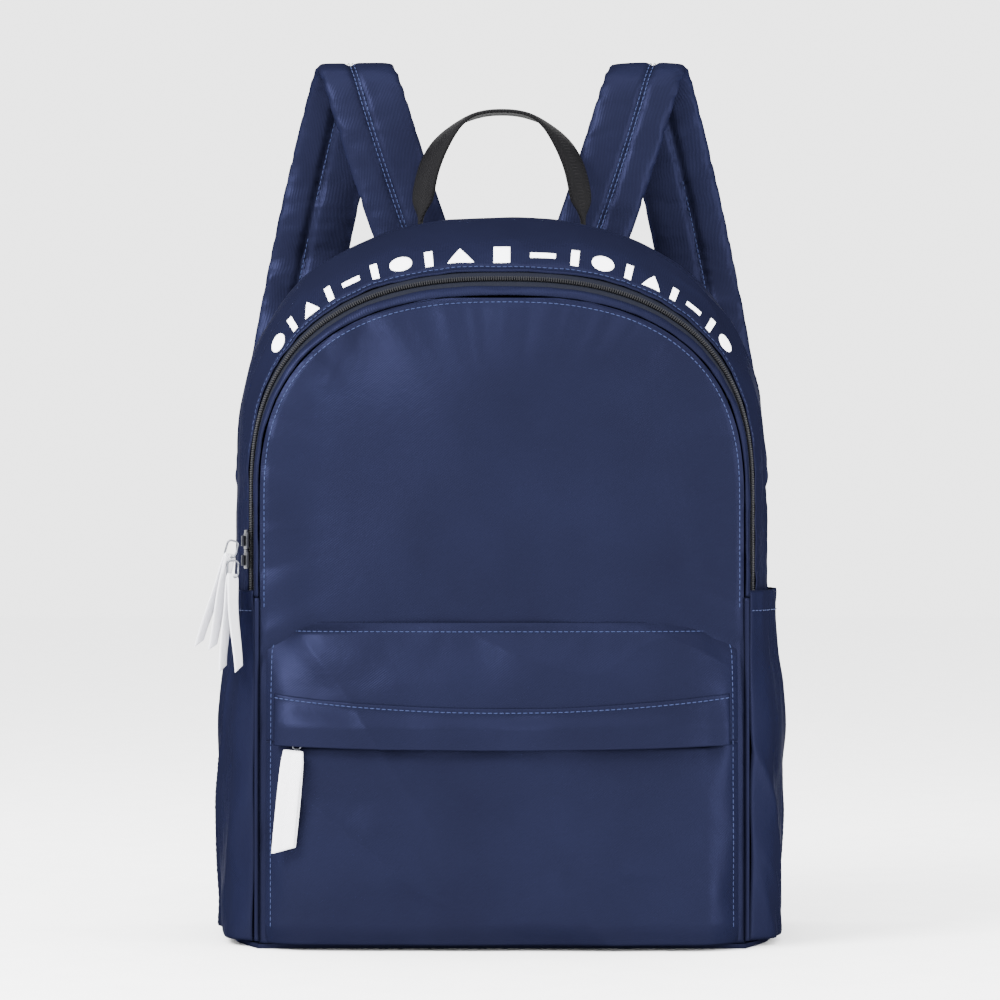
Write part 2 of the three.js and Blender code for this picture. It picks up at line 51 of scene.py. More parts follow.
# ---- Shape of the bag, the same seams as the CAD solids ----
SHOULDER_Z = 0.240
ARCH_POWER = 2.5
FRONT = {"foot": 0.130, "shoulder": 0.131, "top": 0.349, "y_foot": -0.068, "y_top": -0.044}
BACK = {"foot": 0.141, "shoulder": 0.138, "top": 0.388, "y_foot": 0.066, "y_top": 0.058}
SIDE_SHARE = 0.28
WALL_BULGE, TOP_BULGE = 0.0105, 0.0225
CROWN_POWER = 2.2
FRONT_CROWN = 0.012
ZIP_MIDDLE = 0.08  # share of the gusset's depth
HEM_Z, HEM_SEAM_Z = 0.187, 0.1795
POCKET_ZIP_Z = 0.1135
POCKET_HALF, POCKET_TOP = 0.126, 0.173
POCKET_LAYER, POCKET_DEPTH, POCKET_RISE = 0.0024, 0.014, 0.046
CLOTH = 0.0011


def smooth(x, low, high):
    t = np.clip((x - low) / (high - low), 0, 1)
    return t * t * (3 - 2 * t)


def mix(a, b, t):
    return a + (b - a) * t


def seam_y(seam, z):
    return mix(seam["y_foot"], seam["y_top"], z / seam["top"])


def half_width(seam, z):
    z = np.asarray(z, float)
    straight = mix(seam["foot"], seam["shoulder"], z / SHOULDER_Z)
    h = np.clip((z - SHOULDER_Z) / (seam["top"] - SHOULDER_Z), 0, 1)
    arch = seam["shoulder"] * (1 - h**ARCH_POWER) ** (1 / ARCH_POWER)
    return np.where(z <= SHOULDER_Z, straight, arch)


def seam_point(seam, t):
    """Point on a seam, from the left foot (0) over the arch to the right foot (1)."""
    t = np.asarray(t, float)
    side = np.where(t < 0.5, -1.0, 1.0)
    s = np.minimum(t, 1 - t)
    low_z = SHOULDER_Z * s / SIDE_SHARE
    angle = np.clip(math.pi / 2 * (s - SIDE_SHARE) / (0.5 - SIDE_SHARE), 0, math.pi / 2)
    arch_x = seam["shoulder"] * np.cos(angle) ** (2 / ARCH_POWER)
    arch_z = SHOULDER_Z + (seam["top"] - SHOULDER_Z) * np.sin(angle) ** (2 / ARCH_POWER)
    straight = s < SIDE_SHARE
    x = side * np.where(straight, half_width(seam, np.minimum(low_z, SHOULDER_Z)), arch_x)
    z = np.where(straight, low_z, arch_z)
    return np.stack([x, seam_y(seam, z), z], -1)


def gusset(t, v):
    """Gusset surface: t along the seams, v from the front seam (0) to the back seam (1)."""
    t, v = np.broadcast_arrays(np.asarray(t, float), np.asarray(v, float))

    def middle(s):
        return mix(seam_point(FRONT, s), seam_point(BACK, s), v[..., None])

    here = middle(t)
    step = 1e-3
    run = middle(np.minimum(t + step, 1)) - middle(np.maximum(t - step, 0))
    outward = np.stack([-run[..., 2], 0 * t, run[..., 0]], -1)
    outward /= np.linalg.norm(outward, axis=-1, keepdims=True)
    bulge = mix(WALL_BULGE, TOP_BULGE, smooth(here[..., 2], SHOULDER_Z, BACK["top"]))
    crown = 1 - np.abs(2 * v - 1) ** CROWN_POWER
    return here + outward * (bulge * crown)[..., None]


def side_t(z):
    return SIDE_SHARE * z / SHOULDER_Z


def front(x, z):
    """Plain front panel surface."""
    x, z = np.broadcast_arrays(np.asarray(x, float), np.asarray(z, float))
    u = np.clip(x / (half_width(FRONT, z) - 0.0006 + 1e-9), -1, 1)
    fade = 1 - np.clip((z - SHOULDER_Z) / (FRONT["top"] - SHOULDER_Z), 0, 1) ** 3
    swell = FRONT_CROWN * fade * (1 - u * u) * mix(0.55, 1, smooth(z, 0, 0.2))
    return np.stack([x, seam_y(FRONT, z) - swell, z], -1)


def pocket(x, z):
    """Plain front pocket surface."""
    x, z = np.broadcast_arrays(np.asarray(x, float), np.asarray(z, float))
    edge = 1 - np.abs(np.clip(x / (POCKET_HALF + 0.002), -1, 1)) ** 20
    drop = np.clip((POCKET_TOP - z) / POCKET_RISE, 0, 1)
    rise = np.sin(drop * math.pi / 2) * mix(0.75, 1, smooth(z, 0, 0.06))
    behind = front(x, z)
    behind[..., 1] -= POCKET_LAYER + POCKET_DEPTH * edge * rise
    return behind


# ---- Mesh helpers ----


def value_noise(p, seed=0.0):
    """Smooth noise from -1 to 1 at points p, the same on every run."""
    cell = np.floor(p)
    f = p - cell
    f = f * f * (3 - 2 * f)
    total = 0.0
    for dx in (0, 1):
        for dy in (0, 1):
            for dz in (0, 1):
                corner = cell + np.array([dx, dy, dz])
                h = np.sin(corner @ np.array([127.1, 311.7, 74.7]) + seed * 13.7) * 43758.5453
                h = (h - np.floor(h)) * 2 - 1
                w = (f[..., 0] if dx else 1 - f[..., 0]) * (f[..., 1] if dy else 1 - f[..., 1])
                total = total + h * w * (f[..., 2] if dz else 1 - f[..., 2])
    return total


def folds(p, size, seed=0.0, octaves=3):
    """Layered noise; size is the fold's length along X, Y and Z."""
    q = p / np.array(size)
    total, share = 0.0, 1.0
    for i in range(octaves):
        total = total + share * value_noise(q * 2**i + 17.3 * i, seed + i)
        share *= 0.5
    return total


def creases(p, size, seed=0.0):
    """Sharp-crested folds from 0 to 1."""
    return (1 - np.abs(folds(p, size, seed, 2))) ** 3


def grid_normals(p):
    along, across = np.gradient(p, axis=0), np.gradient(p, axis=1)
    n = np.cross(along, across)
    return n / (np.linalg.norm(n, axis=-1, keepdims=True) + 1e-12)


def facing(p, outward):
    """Normals of the grid, turned to the side that outward (a vector or a grid of them) points to."""
    n = grid_normals(p)
    sign = np.sign(np.sum(n * outward, axis=-1, keepdims=True))
    sign[sign == 0] = 1
    return n * sign


def linked(name, data):
    obj = bpy.data.objects.new(name, data)
    bpy.context.scene.collection.objects.link(obj)
    return obj


def mesh_object(name, vertices, faces, uv=None):
    mesh = bpy.data.meshes.new(name)
    mesh.from_pydata(np.asarray(vertices, float).tolist(), [], faces)
    if uv is not None:
        layer = mesh.uv_layers.new(name="cloth")
        loops = np.array([loop.vertex_index for loop in mesh.loops])
        layer.data.foreach_set("uv", np.asarray(uv, np.float32)[loops].ravel())
    made = bmesh.new()
    made.from_mesh(mesh)
    bmesh.ops.recalc_face_normals(made, faces=made.faces)
    made.to_mesh(mesh)
    made.free()
    mesh.shade_smooth()
    return linked(name, mesh)


def grid_uv(p):
    """Arc lengths along both directions of the grid, so a weave keeps its size."""
    across = np.linalg.norm(np.diff(p, axis=1), axis=-1)
    along = np.linalg.norm(np.diff(p, axis=0), axis=-1)
    u = np.concatenate([np.zeros((len(p), 1)), np.cumsum(across, axis=1)], 1)
    u = u - u[:, -1:] / 2
    v = np.concatenate([np.zeros((1, p.shape[1])), np.cumsum(along, axis=0)], 0)
    return np.stack([u, v], -1)


def edge_profile(rows, columns, round_steps):
    """1 inside the sheet, falling to a thin rim over round_steps samples at its border."""
    i, j = np.arange(rows)[:, None], np.arange(columns)[None, :]
    d = np.minimum(np.minimum(i, rows - 1 - i), np.minimum(j, columns - 1 - j))
    share = np.clip(d / round_steps, 0, 1)
    return 0.25 + 0.75 * np.sqrt(1 - (1 - share) ** 2)


def sheet(name, p, outward, inner=-CLOTH, outer=0.0, round_steps=2):
    """Closed sheet of cloth over grid p, from offset inner to outer along its outward normals."""
    rows, columns = p.shape[:2]
    n = facing(p, outward)
    rim = edge_profile(rows, columns, round_steps)[..., None]
    middle = (inner + outer) / 2
    top = p + n * (middle + (outer - middle) * rim)
    low = p + n * (middle + (inner - middle) * rim)
    vertices = np.concatenate([top.reshape(-1, 3), low.reshape(-1, 3)])
    index = np.arange(rows * columns).reshape(rows, columns)
    quads = np.stack([index[:-1, :-1], index[1:, :-1], index[1:, 1:], index[:-1, 1:]], -1).reshape(-1, 4)
    back = quads[:, ::-1] + rows * columns
    border = np.concatenate([index[0, :], index[1:, -1], index[-1, -2::-1], index[-2:0:-1, 0]])
    after = np.roll(border, -1)
    far = rows * columns
    sides = np.stack([border, after, after + far, border + far], -1)
    faces = np.concatenate([quads, back, sides]).tolist()
    uv = grid_uv(p).reshape(-1, 2)
    return mesh_object(name, vertices, faces, np.concatenate([uv, uv]))


def join(name, objects):
    bpy.ops.object.select_all(action="DESELECT")
    for o in objects:
        o.select_set(True)
    bpy.context.view_layer.objects.active = objects[0]
    bpy.ops.object.join()
    objects[0].name = name
    return objects[0]


def many(name, shape_vertices, shape_faces, frames):
    """One mesh of many copies of a small shape; frames are (origin, X, Y, Z) rows."""
    vertices, faces = [], []
    shape = np.asarray(shape_vertices, float)
    for k, (origin, ax, ay, az) in enumerate(frames):
        basis = np.stack([ax, ay, az])
        vertices.append(shape @ basis + origin)
        faces += [[i + k * len(shape) for i in face] for face in shape_faces]
    return mesh_object(name, np.concatenate(vertices), faces)


def capsule_shape(length, width, height, rings=6):
    """Low rounded bar along X for a stitch."""
    stations = [(-0.5, 0.25), (-0.36, 0.85), (-0.15, 1.0), (0.15, 1.0), (0.36, 0.85), (0.5, 0.25)]
    vertices, faces = [], []
    for s, r in stations:
        for k in range(rings):
            a = 2 * math.pi * k / rings
            vertices.append([s * length, r * math.cos(a) * width / 2, r * math.sin(a) * height / 2])
    for i in range(len(stations) - 1):
        for k in range(rings):
            a, b = i * rings + k, i * rings + (k + 1) % rings
            faces.append([a, b, b + rings, a + rings])
    faces.append(list(range(rings))[::-1])
    faces.append([(len(stations) - 1) * rings + k for k in range(rings)])
    return vertices, faces


def arc_lengths(line):
    return np.concatenate([[0], np.cumsum(np.linalg.norm(np.diff(line, axis=0), axis=1))])


def frames_along(line, normals, spacing):
    """(point, tangent, sideways, up) rows at equal spacing along a polyline with normals."""
    s = arc_lengths(line)
    count = max(int(s[-1] / spacing), 1)
    at = (np.arange(count) + 0.5) * s[-1] / count
    points = np.stack([np.interp(at, s, line[:, k]) for k in range(3)], 1)
    ahead = np.stack([np.interp(np.minimum(at + spacing / 4, s[-1]), s, line[:, k]) for k in range(3)], 1)
    tangent = ahead - points
    tangent /= np.linalg.norm(tangent, axis=1, keepdims=True) + 1e-12
    up = np.stack([np.interp(at, s, normals[:, k]) for k in range(3)], 1)
    up -= tangent * np.sum(up * tangent, 1, keepdims=True)
    up /= np.linalg.norm(up, axis=1, keepdims=True) + 1e-12
    return list(zip(points, tangent, np.cross(up, tangent), up))


STITCH_PITCH, STITCH_SIZE = 0.0031, (0.0024, 0.00055, 0.0005)
STITCH_LIFT = 0.0001


def stitches(name, line, normals):
    """Row of thread stitches lying on the cloth whose normals are given at the line's points."""
    rows = frames_along(line, normals, STITCH_PITCH)
    frames = [(p + u * STITCH_LIFT, t, b, u) for p, t, b, u in rows]
    return dress(many(name, *capsule_shape(*STITCH_SIZE), frames), "thread")


# ---- Materials ----


class Nodes:
    """Small wrapper that adds and links shader nodes."""

    def __init__(self, name):
        self.material = bpy.data.materials.new(name)
        self.material.use_nodes = True
        self.tree = self.material.node_tree
        self.shader = self.tree.nodes["Principled BSDF"]

    def add(self, kind, inputs=None, **settings):
        node = self.tree.nodes.new(kind)
        for key, value in settings.items():
            setattr(node, key, value)
        for key, value in (inputs or {}).items():
            if isinstance(value, bpy.types.NodeSocket):
                self.tree.links.new(value, node.inputs[key])
            else:
                node.inputs[key].default_value = value
        return node

    def set(self, **values):
        for key, value in values.items():
            self.shader.inputs[key.replace("_", " ")].default_value = value

    def drive(self, key, socket):
        self.tree.links.new(socket, self.shader.inputs[key])

    def spread(self, value, low, high):
        """A 0 to 1 value mapped to low to high."""
        node = self.add("ShaderNodeMapRange", {"Value": value, "To Min": low, "To Max": high})
        return node.outputs["Result"]

    def blend(self, factor, a, b):
        node = self.add("ShaderNodeMix", data_type="RGBA")
        self.tree.links.new(factor, node.inputs["Factor"])
        node.inputs[6].default_value = a
        node.inputs[7].default_value = b
        return node.outputs[2]

    def noise(self, vector, scale, detail=3.0, roughness=0.55):
        inputs = {"Vector": vector, "Scale": scale, "Detail": detail, "Roughness": roughness}
        return self.add("ShaderNodeTexNoise", inputs).outputs["Fac"]

    def bump(self, height, distance, strength, below=None):
        inputs = {"Height": height, "Distance": distance, "Strength": strength}
        if below is not None:
            inputs["Normal"] = below
        return self.add("ShaderNodeBump", inputs).outputs["Normal"]


def linear(r, g, b):
    """Display colour from 0 to 255 as the linear colour a shader takes."""
    share = [c / 255 for c in (r, g, b)]
    return (*[c / 12.92 if c <= 0.04045 else ((c + 0.055) / 1.055) ** 2.4 for c in share], 1.0)


def bands(nodes, vector, period, angle=0.0):
    """Parallel lines of the given period, turned by angle."""
    turned = nodes.add("ShaderNodeMapping", {"Vector": vector, "Rotation": (0, 0, angle)}).outputs[0]
    inputs = {"Vector": turned, "Scale": 2 * math.pi / 20 / period, "Distortion": 0.15, "Detail": 1.0}
    inputs["Detail Scale"] = 2.0
    return nodes.add("ShaderNodeTexWave", inputs, wave_type="BANDS", bands_direction="X").outputs["Fac"]


def cloth_coordinates(nodes, on_grid):
    if on_grid:
        return nodes.add("ShaderNodeUVMap", uv_map="cloth").outputs["UV"]
    return nodes.add("ShaderNodeTexCoord").outputs["Object"]


def satin_nylon(name, dark, light, on_grid=True, rough=(0.36, 0.5), crinkle=0.5):
    """Twill nylon with a soft shine, faint diagonal lines and small crinkles."""
    n = Nodes(name)
    weave = cloth_coordinates(n, on_grid)
    place = n.add("ShaderNodeTexCoord").outputs["Object"]
    cloudy = n.noise(place, 14.0)
    twill = bands(n, weave, 0.0011, math.radians(52))
    fine = n.noise(place, 900.0, 2.0)
    tone = n.add("ShaderNodeMath", {0: cloudy, 1: n.spread(twill, -0.1, 0.1)}, operation="ADD").outputs[0]
    n.drive("Base Color", n.blend(tone, dark, light))
    n.drive("Roughness", n.spread(n.noise(place, 30.0), *rough))
    n.set(Metallic=0.45, Specular_IOR_Level=0.0, Specular_Tint=linear(40, 45, 76))
    big = n.bump(n.noise(place, 55.0, 4.0, 0.6), 0.004, 0.22 * crinkle)
    middle = n.bump(n.noise(place, 210.0, 3.0), 0.0009, 0.3 * crinkle, big)
    lines = n.bump(twill, 0.00012, 0.35, middle)
    n.drive("Normal", n.bump(fine, 0.00008, 0.3, lines))
    return n.material


def webbing_cloth(name, dark, light, period=0.0019, rough=0.62):
    """Herringbone webbing: diagonal ribs that turn over at each column."""
    n = Nodes(name)
    uv = cloth_coordinates(n, True)
    split = n.add("ShaderNodeSeparateXYZ", {"Vector": uv})
    across = n.add("ShaderNodeMath", {0: split.outputs["X"], 1: 0.0045}, operation="PINGPONG").outputs[0]
    rib = n.add("ShaderNodeMath", {0: across, 1: split.outputs["Y"]}, operation="ADD").outputs[0]
    phase = n.add("ShaderNodeMath", {0: rib, 1: 2 * math.pi / period}, operation="MULTIPLY").outputs[0]
    wave = n.add("ShaderNodeMath", {0: phase}, operation="SINE").outputs[0]
    height = n.spread(wave, 0.0, 1.0)
    grain = n.noise(n.add("ShaderNodeTexCoord").outputs["Object"], 700.0)
    n.drive("Base Color", n.blend(height, dark, light))
    n.set(Roughness=rough, Specular_IOR_Level=0.05)
    ribs = n.bump(height, 0.0003, 0.6)
    n.drive("Normal", n.bump(grain, 0.0001, 0.4, ribs))
    return n.material


def plain(name, color, rough, metallic=0.0, grain=300.0, depth=1e-4, variation=0.06, shine=0.5):
    """Solid stuff with a fine grain and slightly uneven shine."""
    n = Nodes(name)
    place = n.add("ShaderNodeTexCoord").outputs["Object"]
    value = n.noise(place, grain)
    lighter = tuple(min(c * 1.25 + 0.004, 1.0) for c in color[:3]) + (1.0,)
    n.drive("Base Color", n.blend(n.spread(value, 0.0, 1.0), color, lighter))
    n.drive("Roughness", n.spread(n.noise(place, grain / 6), rough - variation, rough + variation))
    n.set(Metallic=metallic, Specular_IOR_Level=shine)
    n.drive("Normal", n.bump(value, depth, 0.3))
    return n.material


NAVY_DARK, NAVY_LIGHT = linear(16, 17, 30), linear(21, 23, 40)
MATERIALS = {
    "shell": satin_nylon("navy_nylon", NAVY_DARK, NAVY_LIGHT),
    "pad": satin_nylon("navy_nylon_pad", NAVY_DARK, NAVY_LIGHT, on_grid=False),
    "lining": satin_nylon("navy_lining", linear(9, 11, 22), linear(13, 16, 29), rough=(0.6, 0.75)),
    "thread": plain("thread", linear(31, 39, 68), 0.6, grain=2000.0, shine=0.1),
    "webbing": webbing_cloth("black_webbing", linear(2, 2, 3), linear(10, 9, 11)),
    "ribbon": webbing_cloth("white_ribbon", linear(214, 214, 220), linear(244, 244, 248), 0.0009, 0.7),
    "print": plain("white_print", linear(236, 238, 246), 0.5, grain=500.0),
    "coil": plain("zip_black", linear(5, 5, 8), 0.5, grain=800.0, shine=0.12),
    "tape": plain("zip_tape", linear(7, 9, 18), 0.75, grain=1500.0, depth=0.0002, shine=0.05),
    "plastic": plain("black_plastic", linear(8, 8, 10), 0.45, grain=600.0, shine=0.15),
    "metal": plain("slider_metal", linear(90, 92, 98), 0.35, metallic=1.0, grain=150.0, depth=0.00005),
    "dark_metal": plain("dark_slider", linear(24, 25, 31), 0.4, metallic=0.9, grain=150.0, depth=0.00005),
    "foam": plain("foam", linear(70, 72, 80), 0.9, grain=400.0, depth=0.0004),
    "floor": plain("floor", linear(244, 244, 245), 0.85, grain=30.0, depth=0.0, variation=0.02),
}


def dress(obj, kind):
    obj.data.materials.clear()
    obj.data.materials.append(MATERIALS[kind])
    return obj


def put(obj, kind, body, *nodes):
    """Dresses obj, lets it ride on a body and stand for CAD nodes."""
    dress(obj, kind)
    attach(obj, body)
    if nodes:
        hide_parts(*nodes)
    return obj


def soften(node_name, kind, width, segments=3):
    """Dresses a CAD node and rounds its edges."""
    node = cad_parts[node_name]
    bevel = node.modifiers.new("soft", "BEVEL")
    bevel.width, bevel.segments, bevel.limit_method = width, segments, "ANGLE"
    dress(node, kind)


# ---- Cloth surfaces with their folds ----


def outline_distance(x, z):
    """How far a point of the front panel lies inside its arched outline."""
    side = half_width(FRONT, z) - np.abs(x)
    radius = np.maximum(z - SHOULDER_Z, 0)
    top = (FRONT["top"] - z) * mix(1, 0.8, smooth(radius, 0, 0.1))
    return np.maximum(np.minimum(side, top), 0)


def front_cloth(x, z):
    p = front(x, z)
    x, z = p[..., 0], p[..., 2]
    d = outline_distance(x, z)
    free = smooth(d, 0.0, 0.035)
    broad = folds(p, (0.12, 1, 0.10), 3.0, 2) * 0.0045
    drape = folds(p, (0.05, 1, 0.12), 8.0, 2) * 0.0016 * smooth(z, 0.32, 0.2)
    around = np.arctan2(z - 0.22, x) * 0.14
    seam = np.stack([around, 0 * x, d * 0.35], -1)
    pucker = folds(seam, (0.012, 1, 0.018), 21.0, 2) * 0.0013 * smooth(d, 0.045, 0.004) * smooth(d, 0, 0.003)
    slant = p + np.stack([0.5 * z, 0 * x, 0 * x], -1)
    crease = creases(slant, (0.06, 1, 0.2), 31.0) * 0.0018 * free
    p[..., 1] -= free * (broad + drape) + pucker + crease + 0.0012 * smooth(d, 0, 0.006)
    return p


def pocket_half(z):
    """Half width of the pocket, with its two upper corners rounded."""
    r = 0.017
    h = np.clip(z - (POCKET_TOP - r), 0, r)
    return POCKET_HALF - r + np.sqrt(r * r - h * h)


def pocket_cloth(u, z):
    """Pocket surface at u, the share of the half width, with pinched corners and slack folds."""
    x = u * pocket_half(z)
    p = pocket(x * (POCKET_HALF / pocket_half(z)), z)
    p[..., 0] = x
    side = np.abs(x)
    corner = np.hypot(side - 0.118, (z - 0.168) * 0.8)
    pinch = np.exp(-((corner / 0.016) ** 2)) * 0.0062
    along = (side - 0.126) * 0.75 + (0.172 - z) * 0.66
    across = (side - 0.126) * 0.66 + (z - 0.172) * 0.75
    ray = np.exp(-((across / 0.0045) ** 2)) * smooth(np.abs(along), 0.04, 0.004) * 0.0024
    edge = smooth(1 - np.abs(u), 0.0, 0.14)
    broad = folds(p, (0.085, 1, 0.06), 61.0, 3) * 0.0036 * edge
    sag = creases(p + np.stack([0.9 * z, 0 * z, 0 * z], -1), (0.06, 1, 0.1), 67.0) * 0.0016
    low = smooth(z, 0.12, 0.06)
    crumple = folds(p, (0.026, 1, 0.034), 71.0, 3) * 0.0019 * low * mix(1.0, 0.35, edge)
    top = smooth(POCKET_TOP - z, 0.0, 0.006)
    fine = folds(p, (0.012, 1, 0.022), 77.0, 2) * 0.0005 * smooth(POCKET_TOP - z, 0.03, 0.002)
    p[..., 1] -= top * (broad + sag * edge + crumple) + fine - pinch - ray
    return p


# ---- Shell ----


def dense_ends(count, share=1.0):
    """Values from -1 to 1 that lie closer together towards both ends."""
    half = math.pi / 2 * share
    return np.sin(np.linspace(-half, half, count)) / math.sin(half)


def plane_grid(u_values, z_values):
    return np.meshgrid(u_values, z_values, indexing="xy")


def row_grid(rows, columns):
    return np.meshgrid(rows, columns, indexing="ij")


def front_grid():
    """Front panel from the base to the top of its arch, in one cloth."""
    h = 2 * np.linspace(0, 1, 190)
    upper = mix(0.20, 0.3481, 1 - (1 - np.clip(h - 1, 0, 1)) ** 1.7)
    z = np.where(h < 1, mix(0.0030, 0.20, h), upper)
    u, z = plane_grid(dense_ends(150, 0.97), z)
    return front_cloth(u * (half_width(FRONT, z) - 0.0008), z)


def arch_line(inset, low, count=420):
    """Line on the front panel that follows the arch at a distance inside it, with its normals."""
    t = np.linspace(side_t(low), 1 - side_t(low), count)
    p = seam_point(FRONT, t)
    step = np.gradient(p, axis=0)
    inward = np.stack([step[:, 2], 0 * t, -step[:, 0]], -1)
    inward /= np.linalg.norm(inward, axis=1, keepdims=True)
    q = p + inward * inset
    here = front_cloth(q[:, 0], q[:, 2])
    return here, facing_lines(front_cloth, q[:, 0], q[:, 2], np.array([0, -1.0, 0]))


def facing_lines(surface, a, b, outward, step=4e-4):
    """Normals of surface(a, b) at single points."""
    da = surface(a + step, b) - surface(a - step, b)
    db = surface(a, b + step) - surface(a, b - step)
    n = np.cross(da, db)
    n /= np.linalg.norm(n, axis=-1, keepdims=True) + 1e-12
    sign = np.sign(np.sum(n * outward, axis=-1, keepdims=True))
    return n * np.where(sign == 0, 1, sign)


def seam_on(name, body, surface, a, b, outward, step=4e-4):
    """Stitches along surface(a, b) that ride on a body."""
    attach(stitches(name, surface(a, b), facing_lines(surface, a, b, outward, step)), body)


def make_front():
    p = front_grid()
    panel = dress(sheet("front_panel", p, np.array([0, -1.0, 0])), "shell")
    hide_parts("front_panel_upper", "front_panel_lower")
    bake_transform(panel)
    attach(stitches("front_stitches_0", *arch_line(0.0034, 0.181)), "front_flap")


def band_outward(p):
    """Roughly outward directions of the gusset, from the bag's middle."""
    middle = np.array([0, 0.0, 0.17])
    d = p - middle
    d[..., 1] *= 0.35
    return d


def make_gusset():
    count = 520
    t = np.linspace(side_t(HEM_Z), 1 - side_t(HEM_Z), count)
    tt, vv = row_grid(t, np.linspace(0.002, 0.047, 12))
    strip = gusset(tt, vv)
    lift = (np.sin((vv - 0.002) / 0.045 * math.pi) ** 0.6) * 0.0011
    ripple = folds(np.stack([tt * 60, vv * 30, 0 * tt], -1), (0.7, 1, 1), 5.0, 2) * 0.00035
    strip = strip + facing(strip, band_outward(strip)) * (lift + ripple)[..., None]
    cloth = sheet("gusset_front_strip_cloth", strip, band_outward(strip))
    put(cloth, "shell", "front_flap", "gusset_front_strip")

    v = np.concatenate([np.linspace(0.112, 0.2, 26), np.linspace(0.21, 0.985, 54)])
    tt, vv = row_grid(t, v)
    band = band_surface(tt, vv)
    cloth = sheet("gusset_band_cloth", band, band_outward(band))
    put(cloth, "shell", "bag", "gusset_band")
    line_t = np.linspace(side_t(0.19), 1 - side_t(0.19), 500)
    line_v = np.full_like(line_t, 0.150)
    outward = band_outward(band_surface(line_t, line_v))
    seam_on("band_stitches_0", "bag", band_surface, line_t, line_v, outward, 1e-3)


def band_surface(t, v):
    """Rear band of the gusset: folded lip at the zip, then soft cloth."""
    p = gusset(t, v)
    d = band_outward(p)
    d /= np.linalg.norm(d, axis=-1, keepdims=True)
    lip = np.exp(-(((v - 0.118) / 0.012) ** 2)) * 0.0012 - np.exp(-(((v - 0.152) / 0.006) ** 2)) * 0.0005
    free = smooth(v, 0.16, 0.34) * smooth(v, 0.99, 0.9)
    soft = folds(p, (0.05, 0.06, 0.06), 41.0, 3) * 0.0017
    upright = creases(p + np.stack([0 * v, 0 * v, 0.25 * p[..., 1]], -1), (0.045, 0.022, 0.12), 47.0)
    side = smooth(np.abs(p[..., 0]), 0.07, 0.12)
    pucker = folds(np.stack([t * 55, v * 10, 0 * t], -1), (0.5, 1, 1), 51.0, 2) * 0.0005
    pucker = pucker * smooth(v, 0.26, 0.15)
    return p + d * (lip + free * (soft + upright * 0.0016 * side) + pucker)[..., None]


def wall_surface(side, z, v):
    """Side wall below the hem on one side (-1 left, 1 right)."""
    p = gusset(side_t(z), v)
    p[..., 0] *= -side
    edge = smooth(np.minimum(v, 1 - v), 0.0, 0.12)
    seed = 81.0 + 10 * side
    slant = p + np.stack([0 * z, 0.35 * z, 0 * z], -1)
    fold = creases(slant, (1, 0.035, 0.16), seed) * 0.003
    soft = folds(p, (1, 0.04, 0.06), seed + 3, 3) * 0.0016
    p[..., 0] += side * edge * (fold + soft - 0.001)
    return p


def make_walls():
    for side, name in ((-1, "left"), (1, "right")):
        sideways = np.array([side * 1.0, 0, 0])
        z, v = row_grid(np.linspace(0.0030, 0.1868, 70), np.linspace(0.010, 0.988, 70))
        wall = wall_surface(side, z, v) - sideways * 0.0016
        put(sheet(f"side_wall_{name}", wall, sideways), "shell", "bag", f"side_panel_{name}")

        def outer(zz, vv, side=side):
            share = (vv - 0.045) / (0.945 - 0.045)
            swell = np.clip(np.minimum(7 * share, 7 * (1 - share)), 0, 1)
            lift = 0.0022 + mix(0.0085, 0.0040, smooth(zz, 0.11, 0.183)) * np.sin(swell * math.pi / 2)
            gather = folds(np.stack([0 * zz, vv * 10, 0 * zz], -1), (1, 0.28, 1), 95.0 + side, 2)
            lift = lift + gather * 0.0009 * smooth(zz, 0.14, 0.19) * swell
            p = wall_surface(side, zz, vv)
            p[..., 0] += side * (lift - 0.0016)
            return p

        z, v = row_grid(np.linspace(0.0034, 0.1905, 110), np.linspace(0.045, 0.945, 110))
        cloth = sheet(f"side_pocket_cloth_{name}", outer(z, v), sideways, inner=-0.0013)
        put(cloth, "shell", "bag", f"side_pocket_{name}", f"side_pocket_hem_{name}")
        vv = np.linspace(0.05, 0.94, 120)
        zz = np.full_like(vv, HEM_SEAM_Z)
        seam_on(f"hem_stitches_{name}_0", "bag", outer, zz, vv, sideways)


def tube(name, line, radius, sides=8):
    """Closed tube along a line."""
    line = np.asarray(line, float)
    tangent = np.gradient(line, axis=0)
    tangent /= np.linalg.norm(tangent, axis=1, keepdims=True)
    up = np.array([0.0, 0.0, 1.0])
    first = np.cross(tangent[0], up)
    if np.linalg.norm(first) < 0.1:
        first = np.cross(tangent[0], np.array([1.0, 0, 0]))
    normal = first / np.linalg.norm(first)
    vertices, faces = [], []
    for p, d in zip(line, tangent):
        normal = normal - d * np.dot(normal, d)
        normal /= np.linalg.norm(normal)
        other = np.cross(d, normal)
        for k in range(sides):
            a = 2 * math.pi * k / sides
            vertices.append(p + radius * (math.cos(a) * normal + math.sin(a) * other))
    for i in range(len(line) - 1):
        for k in range(sides):
            a, b = i * sides + k, i * sides + (k + 1) % sides
            faces.append([a, b, b + sides, a + sides])
    faces.append(list(range(sides))[::-1])
    faces.append([(len(line) - 1) * sides + k for k in range(sides)])
    return mesh_object(name, vertices, faces)


def make_piping():
    """Corded seams at the back edge and low at the front edge."""
    t = np.linspace(0.006, 0.994, 460)
    back = gusset(t, np.full_like(t, 0.99)) + np.array([0, 0.0022, 0])
    put(tube("back_piping", back, 0.0021), "shell", "bag")
    for side, name in ((-1, "left"), (1, "right")):
        z = np.linspace(0.004, 0.1865, 90)
        line = seam_point(FRONT, side_t(z))
        line[:, 0] *= -side
        line += np.array([side * 0.0006, -0.0004, 0])
        put(tube(f"front_piping_{name}", line, 0.0014), "shell", "bag")


# ---- Print: a row of plain shapes round the top in place of lettering ----


